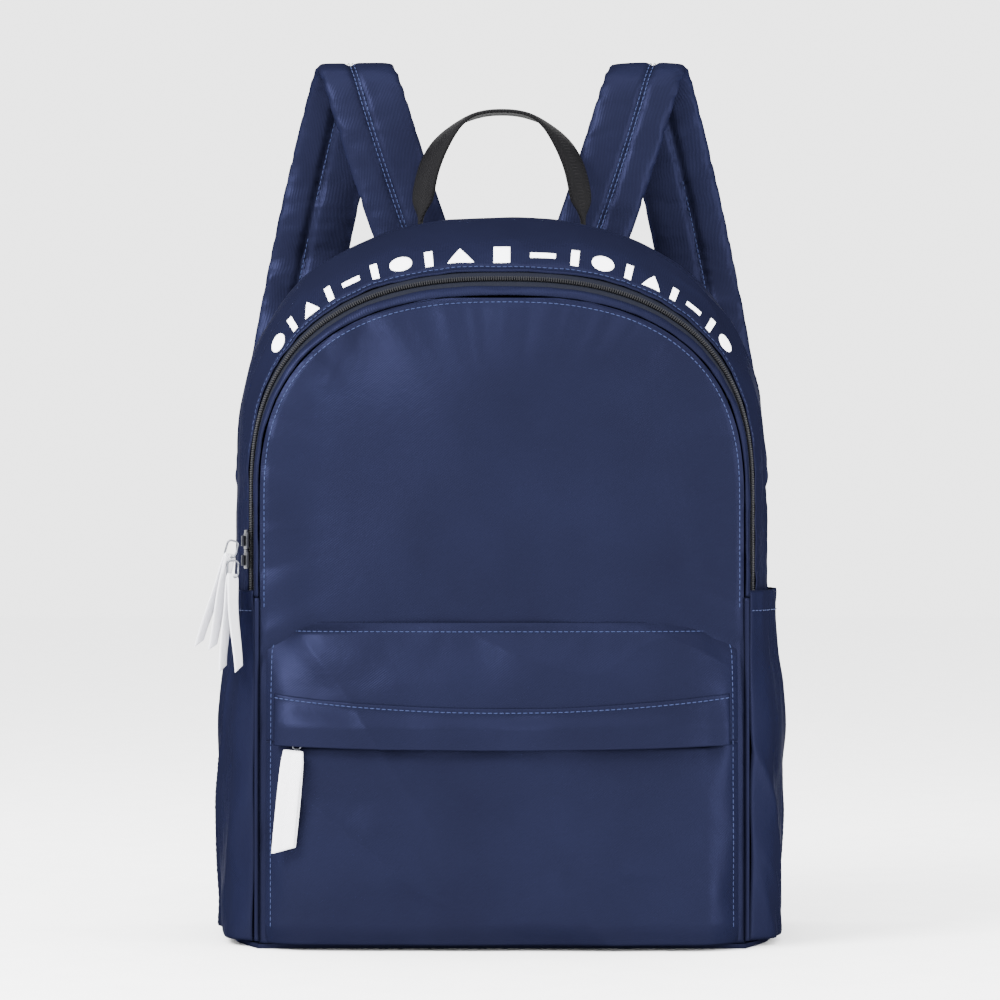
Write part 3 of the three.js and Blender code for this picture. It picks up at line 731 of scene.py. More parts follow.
def print_shapes():
    """Outlines in a unit square, as closed rings of points round a middle."""

    def ring(points):
        return np.array(points, float)

    a = np.linspace(0, 2 * math.pi, 28, endpoint=False)
    disc = np.stack([np.cos(a), np.sin(a)], -1) * 0.48
    bar = ring([(-0.16, -0.5), (0.16, -0.5), (0.16, 0.5), (-0.16, 0.5)])
    wedge = ring([(-0.46, -0.48), (0.46, -0.48), (0.0, 0.48)])
    dash = ring([(-0.44, -0.16), (0.44, -0.16), (0.44, 0.16), (-0.44, 0.16)])
    return [disc, bar, wedge, bar, dash, bar]


def dense_ring(points, count=48):
    closed = np.concatenate([points, points[:1]])
    s = arc_lengths(closed)
    at = np.linspace(0, s[-1], count, endpoint=False)
    return np.stack([np.interp(at, s, closed[:, k]) for k in range(2)], -1)


def make_print():
    height_v, middle_v = 0.095, 0.215
    spots = np.linspace(0.368, 0.632, 19)
    shapes = print_shapes()
    vertices, faces = [], []
    for k, t0 in enumerate(spots):
        outline = dense_ring(shapes[k % len(shapes)])
        rings = [outline * s for s in (1.0, 0.75, 0.5, 0.25)]
        flat = np.concatenate(rings + [np.zeros((1, 2))])
        t = t0 + flat[:, 0] * 0.0126
        v = middle_v + flat[:, 1] * height_v
        p = band_surface(t, v)
        n = facing_lines(band_surface, t, v, band_outward(p), 8e-4)
        start = sum(len(x) for x in vertices)
        vertices += [p + n * 0.00045, p + n * 0.00005]
        count, size = len(outline), len(flat)
        for layer in (0, 1):
            base = start + layer * size
            for r in range(3):
                for i in range(count):
                    j = (i + 1) % count
                    a, b = base + r * count + i, base + r * count + j
                    faces.append([a, b, b + count, a + count])
            for i in range(count):
                faces.append([base + 3 * count + i, base + 3 * count + (i + 1) % count, base + 4 * count])
        for i in range(count):
            j = (i + 1) % count
            faces.append([start + i, start + size + i, start + size + j, start + j])
    put(mesh_object("top_print", np.concatenate(vertices), faces), "print", "bag")


# ---- Zips ----

TOOTH = [
    (-0.5, -0.36, 0), (0.5, -0.36, 0), (0.5, 0.36, 0), (-0.5, 0.36, 0),
    (-0.5, -0.36, 0.6), (0.5, -0.36, 0.6), (0.5, 0.36, 0.6), (-0.5, 0.36, 0.6),
    (-0.3, -0.2, 1.0), (0.3, -0.2, 1.0), (0.3, 0.2, 1.0), (-0.3, 0.2, 1.0),
]
TOOTH_FACES = [
    (3, 2, 1, 0), (0, 1, 5, 4), (1, 2, 6, 5), (2, 3, 7, 6), (3, 0, 4, 7),
    (4, 5, 9, 8), (5, 6, 10, 9), (6, 7, 11, 10), (7, 4, 8, 11), (8, 9, 10, 11),
]


def coil(name, line, normals, across_sign, width=0.0016, pitch=0.00125, height=0.0013):
    """Row of zip teeth along a line; across_sign turns them to one side of it."""
    shape = np.array(TOOTH) * np.array([width, pitch * 0.9, height])
    reach = across_sign * width * 0.42
    rows = frames_along(line, normals, pitch)
    frames = [(p + b * reach, b * across_sign, t, u) for p, t, b, u in rows]
    return many(name, shape, TOOTH_FACES, frames)


def make_main_zip():
    t = np.linspace(side_t(0.1875), 1 - side_t(0.1875), 700)
    for name, sign, body, v_range in (
        ("front", 1, "front_flap", (0.030, 0.0788)), ("rear", -1, "bag", (0.0812, 0.128))
    ):
        tt, vv = row_grid(t[::2], np.linspace(*v_range, 5))
        tape = gusset(tt, vv)
        cloth = sheet(f"main_tape_{name}", tape, band_outward(tape), inner=-0.0012, outer=-0.0004)
        put(cloth, "tape", body, f"main_zip_tape_{name}")
        mid = np.full_like(t, ZIP_MIDDLE)
        line = gusset(t, mid)
        normals = facing_lines(gusset, t, mid, band_outward(line), 1e-3)
        teeth = coil(f"main_teeth_{name}", line - normals * 0.0004, normals, sign)
        put(teeth, "coil", body, f"main_zip_coil_{name}")


def basis_matrix(x, y, z, origin):
    return Matrix([*np.stack([x, y, z, origin], 1).tolist(), [0, 0, 0, 1]])


def zip_frame(z):
    """Frame on the left run of the main zip: origin, forward across, inward, up."""
    z = np.array([float(z)])
    v = np.array([ZIP_MIDDLE])
    origin = gusset(side_t(z), v)[0]
    up = (gusset(side_t(z + 0.004), v) - gusset(side_t(z - 0.004), v))[0]
    up /= np.linalg.norm(up)
    across = (gusset(side_t(z), v - 0.01) - gusset(side_t(z), v + 0.01))[0]
    inward = np.cross(up, across)
    inward /= np.linalg.norm(inward)
    across = np.cross(inward, up)
    return basis_matrix(across, inward, up, origin)


def rounded_box(name, size, bevel, at=(0, 0, 0), segments=3):
    made = bmesh.new()
    bmesh.ops.create_cube(made, size=1.0)
    bmesh.ops.scale(made, vec=size, verts=made.verts)
    bmesh.ops.bevel(made, geom=made.edges[:], offset=bevel, segments=segments, affect="EDGES", profile=0.5)
    bmesh.ops.translate(made, vec=at, verts=made.verts)
    mesh = bpy.data.meshes.new(name)
    made.to_mesh(mesh)
    made.free()
    mesh.shade_smooth()
    return linked(name, mesh)


def ribbon_pull(name, length, width, spread, curl, twist=0.0, slant=0.0045):
    """Ribbon folded over its ring: two leaves side by side, cut at a slant, with the fold at the origin."""
    s = np.linspace(-1, 1, 91)
    b = np.linspace(-0.5, 0.5, 13)
    ss, bb = row_grid(s, b)
    down = np.abs(ss) ** 0.9
    leaf = np.sign(ss) * np.minimum(np.abs(ss) * 6, 1)
    end = length - slant * (bb + 0.5)
    z = -down * end
    gap = 0.0006 + spread * smooth(down, 0.15, 1.0)
    y = leaf * gap - curl * down**2
    x = bb * width * mix(0.92, 1.0, smooth(down, 0.0, 0.12)) + 0.0004 * np.sin(down * 2.6) * leaf
    turn = twist * down
    p = np.stack([x * np.cos(turn) - y * np.sin(turn), x * np.sin(turn) + y * np.cos(turn), z], -1)
    n = grid_normals(p)
    p_in = p - n * 0.0004
    half = sheet(name, p_in, n, inner=-0.0004, outer=0.0004)
    return dress(half, "ribbon")


def ring_wire(name, width, drop, wire):
    """Flat rectangular wire ring with round corners, hanging from its top bar."""
    r = width * 0.28
    w, h = width / 2 - wire / 2, drop - wire
    points = []
    for cx, cz, a0 in ((w - r, -r, 0), (-w + r, -r, 90), (-w + r, -h + r, 180), (w - r, -h + r, 270)):
        for a in np.linspace(a0, a0 + 90, 7):
            points.append((cx + r * math.cos(math.radians(a)), 0, cz + r * math.sin(math.radians(a))))
    points.append(points[0])
    return tube(name, np.array(points), wire / 2, 8)


def transformed(obj, matrix):
    obj.data.transform(matrix)
    return obj


def make_main_sliders():
    pulls = (
        ("a", 0.217, (-0.144, -0.0514), 16, 2, "slider_a", "pull_a", 0.0030, 0.0012),
        ("b", 0.2065, (-0.144, -0.0554), 3, 5, "slider_b", "pull_b", 0.0036, 0.0022),
    )
    for name, z, pin, lean, tilt, slider_body, pull_body, spread, curl in pulls:
        frame_matrix = zip_frame(z)
        parts = [
            rounded_box("shell", (0.0062, 0.0018, 0.0090), 0.0007, (-0.0006, -0.0026, 0)),
            rounded_box("arch", (0.0016, 0.0022, 0.0058), 0.0006, (-0.0016, -0.0042, 0)),
            rounded_box("nose", (0.0046, 0.0016, 0.0034), 0.0006, (-0.0006, -0.0027, 0.0042)),
        ]
        body = transformed(join(f"slider_body_{name}", parts), frame_matrix)
        put(body, "dark_metal", slider_body, f"main_slider_{name}")
        pose = (
            Matrix.Translation((pin[0], pin[1], z))
            @ Matrix.Rotation(math.radians(lean), 4, "Y")
            @ Matrix.Rotation(math.radians(-tilt), 4, "X")
        )
        ring = transformed(ring_wire(f"pull_ring_{name}", 0.007, 0.010, 0.0011), pose)
        put(ring, "metal", pull_body, f"main_pull_ring_{name}")
        ribbon = ribbon_pull(f"ribbon_{name}", 0.0525, 0.0115, spread, curl, 0.22)
        turn = Matrix.Rotation(math.radians(62), 4, "Z")
        transformed(ribbon, pose @ Matrix.Translation((0, 0, -0.0078)) @ turn)
        put(ribbon, "ribbon", pull_body, f"main_pull_{name}")


# ---- Front pocket ----

OUT = np.array([0, -1.0, 0])


def placket_proud(x, z):
    """How far the placket stands off the pocket: sewn down along its curved top seam, free below."""
    seam = 0.1255 + 0.0075 * (x / 0.12) ** 2
    return mix(0.0056, 0.0012, smooth(z, 0.117, seam))


def placket_cloth(u, z):
    p = pocket_cloth(u, z)
    x = p[..., 0]
    p[..., 1] -= placket_proud(x, z)
    low = smooth(z, 0.122, 0.108)
    p[..., 1] -= folds(p, (0.03, 1, 0.1), 101.0, 2) * 0.0005 * low
    return p


def make_pocket():
    z = np.concatenate([np.linspace(0.1105, 0.160, 60), np.linspace(0.1607, 0.1737, 30)])
    u, zz = plane_grid(dense_ends(190), z)
    band = sheet("pocket_band_cloth", pocket_cloth(u, zz), OUT)
    put(band, "shell", "bag", "pocket_band")

    u_line = dense_ends(190)
    h = np.linspace(0, 1, 110)[:, None]
    top = 0.1080 + 0.0020 * smooth(np.abs(u_line) * POCKET_HALF, 0.108, 0.120)
    zz = mix(0.0030, top[None, :], h)
    u = np.repeat(u_line[None, :], len(h), 0)
    p = pocket_cloth(u, zz)
    tuck = smooth(zz, 0.016, 0.0) * 0.006
    p[..., 1] += tuck
    panel = dress(sheet("pocket_panel_cloth", p, OUT), "shell")
    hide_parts("pocket_front", "pocket_side_left", "pocket_side_right")
    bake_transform(panel)

    z = np.linspace(0, 1, 44)[:, None]
    u_line = np.linspace(-0.965, 0.965, 200)
    x_line = u_line * POCKET_HALF
    low = 0.1066 + 0.0022 * (x_line / 0.12) ** 2
    high = 0.1285 + 0.0075 * (x_line / 0.12) ** 2
    zz = mix(low[None, :], high[None, :], z)
    u = np.repeat(u_line[None, :], len(z), 0)
    placket = dress(sheet("placket_cloth", placket_cloth(u, zz), OUT, inner=-0.0012), "shell")
    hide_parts("pocket_placket")
    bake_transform(placket)

    seams = (
        ("placket_seam", placket_cloth, u_line * 0.995, 0.1262 + 0.0075 * (x_line / 0.12) ** 2),
        ("pocket_top_seam", pocket_cloth, np.linspace(-0.93, 0.93, 200), np.full(200, 0.1688)),
    )
    for name, surface, uu, z_line in seams:
        seam_on(name, "bag", surface, uu, z_line, OUT)
    for side, name in ((-1, "left"), (1, "right")):
        z_line = np.linspace(0.012, 0.162, 120)
        uu = np.full_like(z_line, side * 0.975)
        line = pocket_cloth(uu, z_line)
        line[..., 1] += smooth(z_line, 0.016, 0.0) * 0.006
        normals = facing_lines(pocket_cloth, uu, z_line, OUT)
        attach(stitches(f"pocket_side_seam_{name}", line, normals), "bag")


def make_pocket_zip():
    for name, sign, body, reach, tape_z in (
        ("upper", -1, "bag", 0.116, (0.1138, 0.1181)),
        ("lower", 1, "pocket_panel", 0.0966, (0.1089, 0.1132)),
    ):
        u_line = np.linspace(-reach, reach, 220) / POCKET_HALF
        z_line = np.full_like(u_line, POCKET_ZIP_Z + (0.0002 if sign < 0 else -0.0002))
        plain_surface = lambda u, z: pocket(u * POCKET_HALF, z)
        line = plain_surface(u_line, z_line) + np.array([0, 0.0010, 0])
        normals = np.tile(OUT, (len(u_line), 1))
        teeth = coil(f"pocket_teeth_{name}", line, normals, sign)
        put(teeth, "coil", body, f"pocket_zip_coil_{name}")
        u, z = plane_grid(u_line, np.linspace(*tape_z, 5))
        tape = sheet(f"pocket_tape_{name}", plain_surface(u, z), OUT, inner=-0.0030, outer=-0.0022)
        put(tape, "tape", body, f"pocket_zip_tape_{name}")


def make_pocket_slider():
    x, z = np.array([-0.108]), np.array([POCKET_ZIP_Z])
    origin = pocket(x, z)[0]
    ahead = (pocket(x + 0.0005, z) - pocket(x - 0.0005, z))[0]
    up = (pocket(x, z + 0.0005) - pocket(x, z - 0.0005))[0]
    up /= np.linalg.norm(up)
    inward = np.cross(up, ahead)
    inward /= np.linalg.norm(inward)
    ahead = np.cross(inward, up)
    place = basis_matrix(ahead, inward, up, origin)
    body = rounded_box("pocket_slider_body", (0.007, 0.0011, 0.0042), 0.0004, (0, -0.00175, 0.0026))
    put(transformed(body, place), "dark_metal", "pocket_slider", "pocket_slider")
    ring = ring_wire("pocket_ring", 0.005, 0.0105, 0.0009)
    transformed(ring, place @ Matrix.Translation((0, -0.0029, 0.0030)))
    put(ring, "metal", "pocket_slider", "pocket_pull_ring")
    ribbon = ribbon_pull("pocket_ribbon", 0.0545, 0.0118, 0.0001, 0.0004, 0.04)
    lean = Matrix.Rotation(math.radians(5.5), 4, "Y")
    transformed(ribbon, place @ Matrix.Translation((-0.0012, -0.0058, -0.0080)) @ lean)
    put(ribbon, "ribbon", "pocket_pull", "pocket_pull")


# ---- Straps ----

STRAP_POINTS = np.array([
    (71.5, 366), (75, 395), (78, 430), (81, 458), (86, 477), (97, 487.4), (108, 477), (113, 458),
    (115.5, 425), (115.5, 375), (110, 318), (101, 266), (94, 236),
]) * MM
STRAP_WIDTH, STRAP_THICK = 0.0455, 0.009
STRAP_ROUND = 0.016
WEB_WIDTH, WEB_THICK = 0.024, 0.0018


def through(points, per_span=40):
    """Centripetal Catmull-Rom curve through the points."""
    points = np.asarray(points, float)
    ends = [2 * points[0] - points[1], *points, 2 * points[-1] - points[-2]]
    out = []
    for p0, p1, p2, p3 in zip(ends, ends[1:], ends[2:], ends[3:]):
        d0, d1, d2 = (max(np.linalg.norm(b - a), 1e-9) ** 0.5 for a, b in ((p0, p1), (p1, p2), (p2, p3)))
        m1 = ((p1 - p0) / d0 - (p2 - p0) / (d0 + d1) + (p2 - p1) / d1) * d1
        m2 = ((p2 - p1) / d1 - (p3 - p1) / (d1 + d2) + (p3 - p2) / d2) * d1
        for t in np.linspace(0, 1, per_span, endpoint=False):
            t2, t3 = t * t, t**3
            out.append(
                (2 * t3 - 3 * t2 + 1) * p1 + (t3 - 2 * t2 + t) * m1 + (3 * t2 - 2 * t3) * p2 + (t3 - t2) * m2
            )
    out.append(points[-1])
    return np.array(out)


class Route:
    """A flat strap's middle line in the Y-Z plane, read by its length."""

    def __init__(self, points):
        self.line = through(points)
        self.at = arc_lengths(self.line)
        self.length = self.at[-1]
        tangent = np.gradient(self.line, axis=0)
        self.tangent = tangent / np.linalg.norm(tangent, axis=1, keepdims=True)

    def point(self, s):
        return np.stack([np.interp(s, self.at, self.line[:, k]) for k in range(2)], -1)

    def normal(self, s):
        """Normal on the outside of the strap's loop."""
        ty = np.interp(s, self.at, self.tangent[:, 0])
        tz = np.interp(s, self.at, self.tangent[:, 1])
        size = np.hypot(ty, tz)
        return np.stack([-tz / size, ty / size], -1)

    def nearest(self, yz):
        """(length, signed height outward) of points near the route."""
        d = np.linalg.norm(yz[:, None, :] - self.line[None, ::4, :], axis=-1)
        i = np.argmin(d, axis=1) * 4
        ahead = np.sum((yz - self.line[i]) * self.tangent[i], -1)
        s = np.clip(self.at[i] + ahead, 0, self.length)
        return s, np.sum((yz - self.point(s)) * self.normal(s), -1)


PAD_ROUTE = Route(STRAP_POINTS)


def strap_x(s):
    mm = s / MM
    return (42.5 + 0.37 * mm - 0.00035 * mm**2) * MM


def pad_width(s):
    left = np.clip((PAD_ROUTE.length - s) / STRAP_ROUND, 0, 1)
    return STRAP_WIDTH * np.where(left < 1, np.sqrt(1 - (1 - left) ** 2 * 0.72), 1.0)


def pad_grid(side, thick, width_share, rows=150, around=44, start=0.0):
    """Closed flat tube round the pad's route."""
    s = np.linspace(start, PAD_ROUTE.length - 0.0005, rows)
    a = np.linspace(0, 2 * math.pi, around, endpoint=False)
    ss, aa = row_grid(s, a)
    cap = np.clip(np.minimum(ss - start + 0.0012, PAD_ROUTE.length - ss + 0.0008) / 0.006, 0, 1)
    plump = np.sqrt(1 - (1 - cap) ** 2)
    b = np.sign(np.cos(aa)) * np.abs(np.cos(aa)) ** 0.55
    h = np.sign(np.sin(aa)) * np.abs(np.sin(aa)) ** 0.5
    p, n = PAD_ROUTE.point(ss), PAD_ROUTE.normal(ss)
    height = h * thick / 2 * mix(0.35, 1, plump)
    x = side * strap_x(ss) + b * pad_width(ss) / 2 * width_share
    y, z = p[..., 0] + n[..., 0] * height, p[..., 1] + n[..., 1] * height
    return np.stack([x, y, z], -1)


def tube_object(name, p):
    rows, around = p.shape[:2]
    index = np.arange(rows * around).reshape(rows, around)
    a, b = index, np.roll(index, -1, axis=1)
    quads = np.stack([a[:-1], b[:-1], b[1:], a[1:]], -1).reshape(-1, 4).tolist()
    quads.append(index[0].tolist()[::-1])
    quads.append(index[-1].tolist())
    return mesh_object(name, p.reshape(-1, 3), quads)


def apply_all(obj):
    depsgraph = bpy.context.evaluated_depsgraph_get()
    baked = bpy.data.meshes.new_from_object(obj.evaluated_get(depsgraph))
    obj.modifiers.clear()
    obj.data = baked
    obj.data.shade_smooth()


def coordinates(obj):
    flat = np.empty(len(obj.data.vertices) * 3)
    obj.data.vertices.foreach_get("co", flat)
    return flat.reshape(-1, 3)


def set_coordinates(obj, p):
    obj.data.vertices.foreach_set("co", p.ravel())
    obj.data.update()


def inflate(obj, voxel, pressure, cap, pinned):
    """Swells a padded piece by cloth simulation. pinned(points) is 1 where the cloth is sewn down."""
    remesh = obj.modifiers.new("remesh", "REMESH")
    remesh.mode = "VOXEL"
    remesh.voxel_size = voxel
    apply_all(obj)
    before = coordinates(obj)
    group = obj.vertex_groups.new(name="sewn")
    for i, w in enumerate(pinned(before)):
        group.add([i], float(w), "REPLACE")
    cloth = obj.modifiers.new("cloth", "CLOTH")
    cloth.settings.use_pressure = True
    cloth.settings.uniform_pressure_force = pressure
    cloth.settings.vertex_group_mass = "sewn"
    cloth.settings.effector_weights.gravity = 0
    cloth.settings.quality = 4
    cloth.settings.tension_stiffness = 12
    cloth.settings.bending_stiffness = 0.6
    cloth.point_cache.frame_start, cloth.point_cache.frame_end = 1, 20
    scene = bpy.context.scene
    for k in range(1, 21):
        scene.frame_set(k)
    apply_all(obj)
    scene.frame_set(1)
    move = coordinates(obj) - before
    size = np.linalg.norm(move, axis=1, keepdims=True)
    set_coordinates(obj, before + move * np.minimum(1, cap / (size + 1e-9)))


def pad_details(obj, side):
    """Sewn channel, flat bound edges and small folds on the swollen pad."""
    p = coordinates(obj)
    s, h = PAD_ROUTE.nearest(p[:, 1:])
    n = PAD_ROUTE.normal(s)
    b = (p[:, 0] - side * strap_x(s)) / pad_width(s) * side
    body = smooth(s, 0.004, 0.02) * smooth(PAD_ROUTE.length - s, 0.004, 0.02)
    even = np.clip(b, -RIM_SHARE, RIM_SHARE) / RIM_SHARE * 0.492
    p[:, 0] = side * (strap_x(s) + mix(b, even, body) * pad_width(s))
    limit = STRAP_THICK / 2 + 0.0016
    h_new = np.clip(h, -limit, limit)
    channel = np.exp(-(((b - 0.06) / 0.045) ** 2)) * 0.75
    rim = smooth(np.abs(b), 0.40, 0.46) * 0.35
    h_new = h_new * (1 - channel) * (1 - rim)
    inner = (h < 0) & (np.abs(b) < 0.47)
    ripple = folds(np.stack([b * 1.5, s * 70, 0 * s], -1), (1.2, 1, 1), 111.0 + side, 3)
    pucker = folds(np.stack([b * 3, s * 170, 0 * s], -1), (1.2, 1, 1), 121.0 + side, 2)
    near = np.exp(-(((b - 0.06) / 0.13) ** 2)) + np.exp(-(((np.abs(b) - 0.42) / 0.06) ** 2))
    height = ripple * np.where(inner, 0.0014, 0.0008) + pucker * 0.00035 * near
    h_new = h_new + np.sign(h) * height * smooth(np.abs(h), 0.0002, 0.0015)
    p[:, 1:] += n * (h_new - h)[:, None]
    set_coordinates(obj, p)


def pad_line(side, share, face, start=0.006, end=0.012):
    """Line on the pad at width share b, on its outside (1) or inside (-1) face."""
    s = np.linspace(start, PAD_ROUTE.length - end, 260)
    b = np.full_like(s, share)
    rim = 1 - smooth(np.abs(b), 0.40, 0.46) * 0.35
    channel = 1 - np.exp(-(((b - 0.06) / 0.045) ** 2)) * 0.75
    height = face * (STRAP_THICK / 2 * rim * channel + 0.0002)
    p, n = PAD_ROUTE.point(s), PAD_ROUTE.normal(s)
    x = side * (strap_x(s) + b * pad_width(s))
    line = np.stack([x, p[:, 0] + n[:, 0] * height, p[:, 1] + n[:, 1] * height], -1)
    return line, np.stack([0 * s, face * n[:, 0], face * n[:, 1]], -1)


RIM_SHARE = 0.445  # width share where the simulated rim is still whole


def swollen_pad():
    """Right strap's pad, simulated once; the left one is its mirror image."""
    pad = tube_object("strap_pad_cloth_right", pad_grid(1, STRAP_THICK * 0.80, 0.965))

    def sewn(p):
        s, _ = PAD_ROUTE.nearest(p[:, 1:])
        b = (p[:, 0] - strap_x(s)) / pad_width(s)
        middle = np.exp(-(((b - 0.06) / 0.05) ** 2))
        rim = smooth(np.abs(b), 0.42, 0.46)
        ends = smooth(s, 0.012, 0.0) + smooth(s, PAD_ROUTE.length - 0.012, PAD_ROUTE.length)
        return np.clip(middle + rim + ends, 0, 1)

    inflate(pad, 0.0032, 4.0, 0.003, sewn)
    even = pad.modifiers.new("even", "SMOOTH")
    even.factor, even.iterations = 0.5, 7
    apply_all(pad)
    subdivision = pad.modifiers.new("smooth", "SUBSURF")
    subdivision.levels = 1
    apply_all(pad)
    return pad


def mirrored(obj, name):
    mesh = obj.data.copy()
    mesh.transform(Matrix.Scale(-1, 4, (1, 0, 0)))
    mesh.flip_normals()
    return linked(name, mesh)


def web_sheet(name, x, points, width=WEB_WIDTH, thick=WEB_THICK, samples=120):
    """Flat webbing of constant width along a route in the Y-Z plane."""
    route = Route(np.array(points, float) * MM)
    s = np.linspace(0, route.length, samples)
    b = np.linspace(-0.5, 0.5, 13)
    ss, bb = row_grid(s, b)
    p, n = route.point(ss), route.normal(ss)
    q = np.stack([x + bb * width, p[..., 0], p[..., 1]], -1)
    out = np.stack([0 * ss, n[..., 0], n[..., 1]], -1)
    return sheet(name, q, out, inner=-thick / 2, outer=thick / 2)


def make_straps():
    right = swollen_pad()
    left = mirrored(right, "strap_pad_cloth_left")
    for side, name, pad in ((-1, "left", left), (1, "right", right)):
        pad_details(pad, side)
        dress(pad, "pad")
        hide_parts(f"strap_root_{name}", f"strap_pad_{name}", f"strap_lining_{name}")
        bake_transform(pad)
        for k, (share, face) in enumerate(((0.035, 1), (0.085, 1), (0.06, -1))):
            line, normals = pad_line(side, share, face)
            row = stitches(f"pad_stitches_{name}_{k}", line, normals)
            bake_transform(row)
        end_y, end_z = STRAP_POINTS[-1]
        x = side * float(strap_x(PAD_ROUTE.length))
        soften(f"ladder_lock_{name}", "plastic", 0.0008)
        body = f"strap_{name}"
        y_mm, z_mm = end_y / MM, end_z / MM
        loop = web_sheet(
            f"lock_loop_cloth_{name}", x,
            [(y_mm + dy, z_mm + dz) for dy, dz in ((-1, 1), (-0.4, -6), (-2.6, -10), (-4.2, -12.5))],
            0.022, 0.0015, 40,
        )
        put(loop, "webbing", body, f"lock_loop_{name}")
        web = web_sheet(
            f"webbing_{name}", x,
            [(77.8, 22), (77.2, 34), (76.5, 60), (76.5, 100), (78.4, 150), (80, 190), (80.6, 213)],
        )
        dress(web, "webbing")
        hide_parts(f"strap_webbing_{name}")
        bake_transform(web)
        tail = web_sheet(f"web_tail_{name}", x, [(92.2, 207), (95.5, 178), (95, 145), (92, 112)], samples=80)
        put(tail, "webbing", body, f"strap_tail_{name}")
        soften(f"strap_anchor_{name}", "pad", 0.0006, 2)


def make_handle():
    """Black webbing arch, narrow where its ends go into the seam."""
    half, rise, base_z = 0.045, 0.064, 0.3936
    a = np.linspace(0, math.pi, 200)
    x = -half * np.sign(np.cos(a)) * np.abs(np.cos(a)) ** 0.85
    z = base_z + rise * np.sin(a) ** 0.85
    foot_l = np.stack([np.full(14, -half), np.linspace(base_z - 0.0035, base_z - 0.0002, 14)], -1)
    line = np.concatenate([foot_l, np.stack([x, z], -1), foot_l[::-1] * np.array([-1, 1])])
    b = np.linspace(-0.5, 0.5, 15)
    width = mix(0.010, 0.0205, smooth(line[:, 1], base_z - 0.002, base_z + 0.020))
    lean = math.tan(math.radians(8))
    xx = np.repeat(line[:, :1], len(b), 1)
    zz = np.repeat(line[:, 1:], len(b), 1)
    bow = 0.0012 * (1 - (2 * b[None, :]) ** 2)
    turn = np.radians(38) * smooth(np.abs(line[:, 0]), 0.012, 0.040)
    turn = turn * smooth(line[:, 1], base_z, base_z + 0.015)
    across = b[None, :] * width[:, None]
    yy = 0.052 + (zz - base_z) * lean + across * np.cos(turn)[:, None]
    xx = xx + across * (np.sin(turn) * np.sign(line[:, 0]))[:, None]
    middle = np.array([0, 0.052, base_z])
    p = np.stack([xx, yy, zz], -1)
    out = p - middle
    out[..., 1] = 0
    n = facing(p, out)
    p = p + n * bow[..., None]
    handle = dress(sheet("grab_handle_webbing", p, out, inner=-0.0011, outer=0.0011), "webbing")
    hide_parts("grab_handle")
    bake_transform(handle)


# ---- Back, inside and base ----


def make_back():
    arch = 0.25 + 0.1362 * (1 - (1 - np.linspace(0.01, 1, 70)) ** 1.7)
    u, zz = plane_grid(dense_ends(110, 0.96), np.concatenate([np.linspace(0.004, 0.25, 90), arch]))
    x = u * (half_width(BACK, zz) - 0.0012)
    y = seam_y(BACK, zz) + 0.0078
    d = np.minimum(half_width(BACK, zz) - np.abs(x), np.minimum(zz, np.maximum(BACK["top"] - zz, 0)))
    puff = np.abs(np.sin((x / 0.29 + 0.5) * math.pi * 3)) ** 0.5
    rows = np.exp(-(((zz - 0.115) / 0.004) ** 2)) + np.exp(-(((zz - 0.25) / 0.004) ** 2))
    p = np.stack([x, y, zz], -1)
    soft = folds(p, (0.05, 1, 0.06), 131.0, 3) * 0.0007
    p[..., 1] += smooth(d, 0, 0.02) * (0.0016 * puff * (1 - rows) + soft) - 0.0073 * smooth(d, 0.0048, 0.0)
    put(sheet("back_cover", p, np.array([0, 1.0, 0])), "shell", "bag", "back_panel")
    soften("back_foam", "foam", 0.001)
    soften("back_lining", "lining", 0.0003)
    soften("base_board", "foam", 0.0006)
    soften("laptop_sleeve", "lining", 0.0007)
    soften("sleeve_binding", "webbing", 0.0012)
    soften("bottom_panel", "pad", 0.001)
    soften("strap_yoke", "pad", 0.0009)
    for k, z_line in enumerate((0.3385, 0.3575)):
        x_line = np.linspace(-0.071, 0.071, 60)
        line = np.stack([x_line, np.full(60, 0.07055), np.full(60, z_line)], -1)
        normals = np.tile(np.array([0, 1.0, 0]), (60, 1))
        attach(stitches(f"yoke_stitches_{k}", line, normals), "bag")


# ---- Stage ----


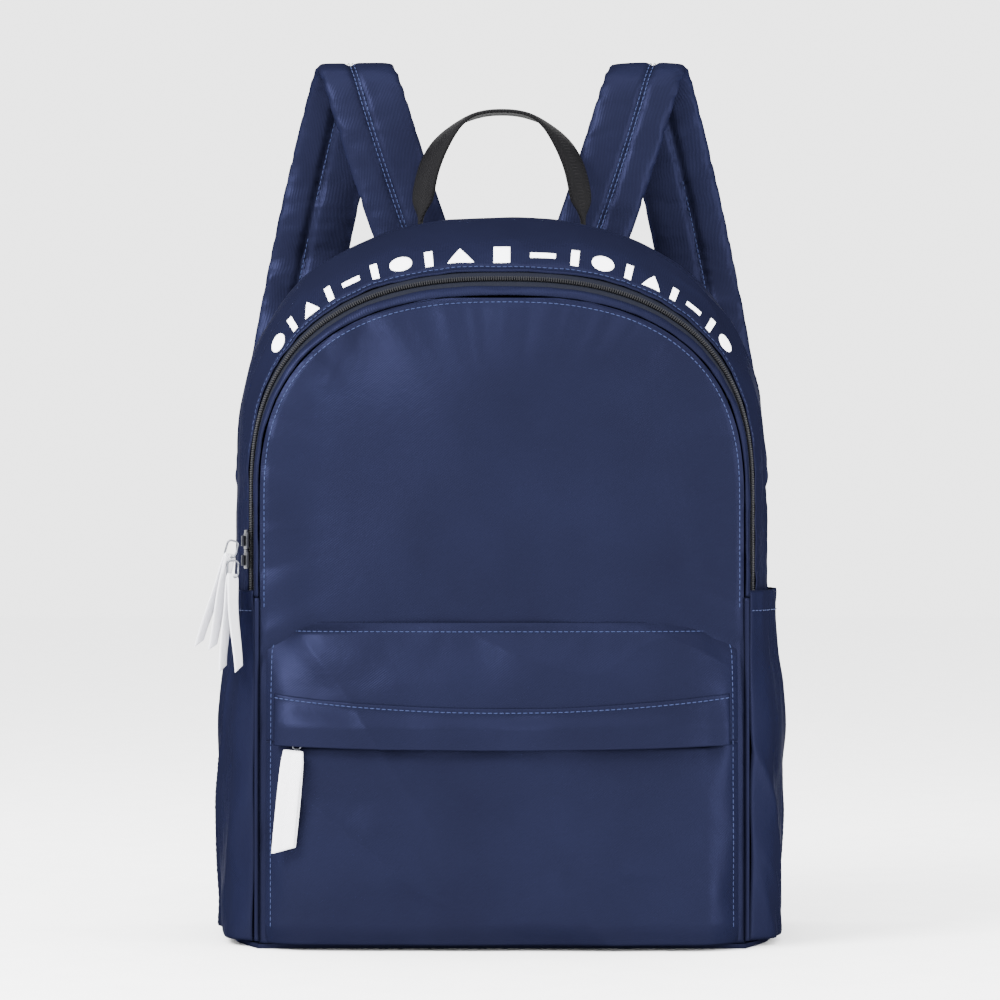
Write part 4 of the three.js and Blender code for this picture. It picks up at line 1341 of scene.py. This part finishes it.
STAGE_MIDDLE = (0, 0, 0.22)
CAMERA_AT, CAMERA_LENS, SENSOR = (-0.001, -2.2, 0.239), 144.0, 36.0
WORLD_STRENGTH = 3.4
FLOOR_HALF, FLOOR_Z = 6.0, -0.0002
LIGHTS = {
    "key": ((-1.3, -1.1, 1.5), (0.8, 0.8), 150),
    "fill": ((1.7, -1.2, 0.5), (0.7, 1.4), 68),
    "top": ((0.1, -0.5, 2.0), (1.2, 0.7), 24),
    "left_rim": ((-1.6, 0.5, 0.5), (0.5, 1.4), 20),
    "right_rim": ((1.6, 0.5, 0.5), (0.5, 1.4), 20),
}


def area_light(name, location, size, power):
    lamp = bpy.data.lights.new(name, "AREA")
    lamp.shape, lamp.size, lamp.size_y = "RECTANGLE", size[0], size[1]
    lamp.energy = power
    obj = linked(name, lamp)
    obj.location = location
    obj.rotation_euler = (Vector(STAGE_MIDDLE) - Vector(location)).to_track_quat("-Z", "Y").to_euler()


def make_stage():
    directions = ((-1, -1), (1, -1), (1, 1), (-1, 1))
    corners = [(FLOOR_HALF * x, FLOOR_HALF * y, FLOOR_Z) for x, y in directions]
    floor = mesh_object("floor", corners, [[0, 1, 2, 3]])
    floor.data.materials.append(MATERIALS["floor"])
    world = bpy.data.worlds.new("studio")
    bpy.context.scene.world = world
    world.use_nodes = True
    background = world.node_tree.nodes["Background"]
    background.inputs["Color"].default_value = (1.0, 1.0, 1.0, 1.0)
    background.inputs["Strength"].default_value = WORLD_STRENGTH
    for name, light in LIGHTS.items():
        area_light(name, *light)
    camera = bpy.data.cameras.new("camera")
    camera.lens, camera.sensor_width = CAMERA_LENS, SENSOR
    camera.clip_start = 0.05
    view = linked("camera", camera)
    view.location = CAMERA_AT
    view.rotation_euler = (math.pi / 2, 0, 0)
    bpy.context.scene.camera = view


make_front()
make_gusset()
make_walls()
make_piping()
make_print()
make_main_zip()
make_main_sliders()
make_pocket()
make_pocket_zip()
make_pocket_slider()
make_straps()
make_handle()
make_back()
make_stage()
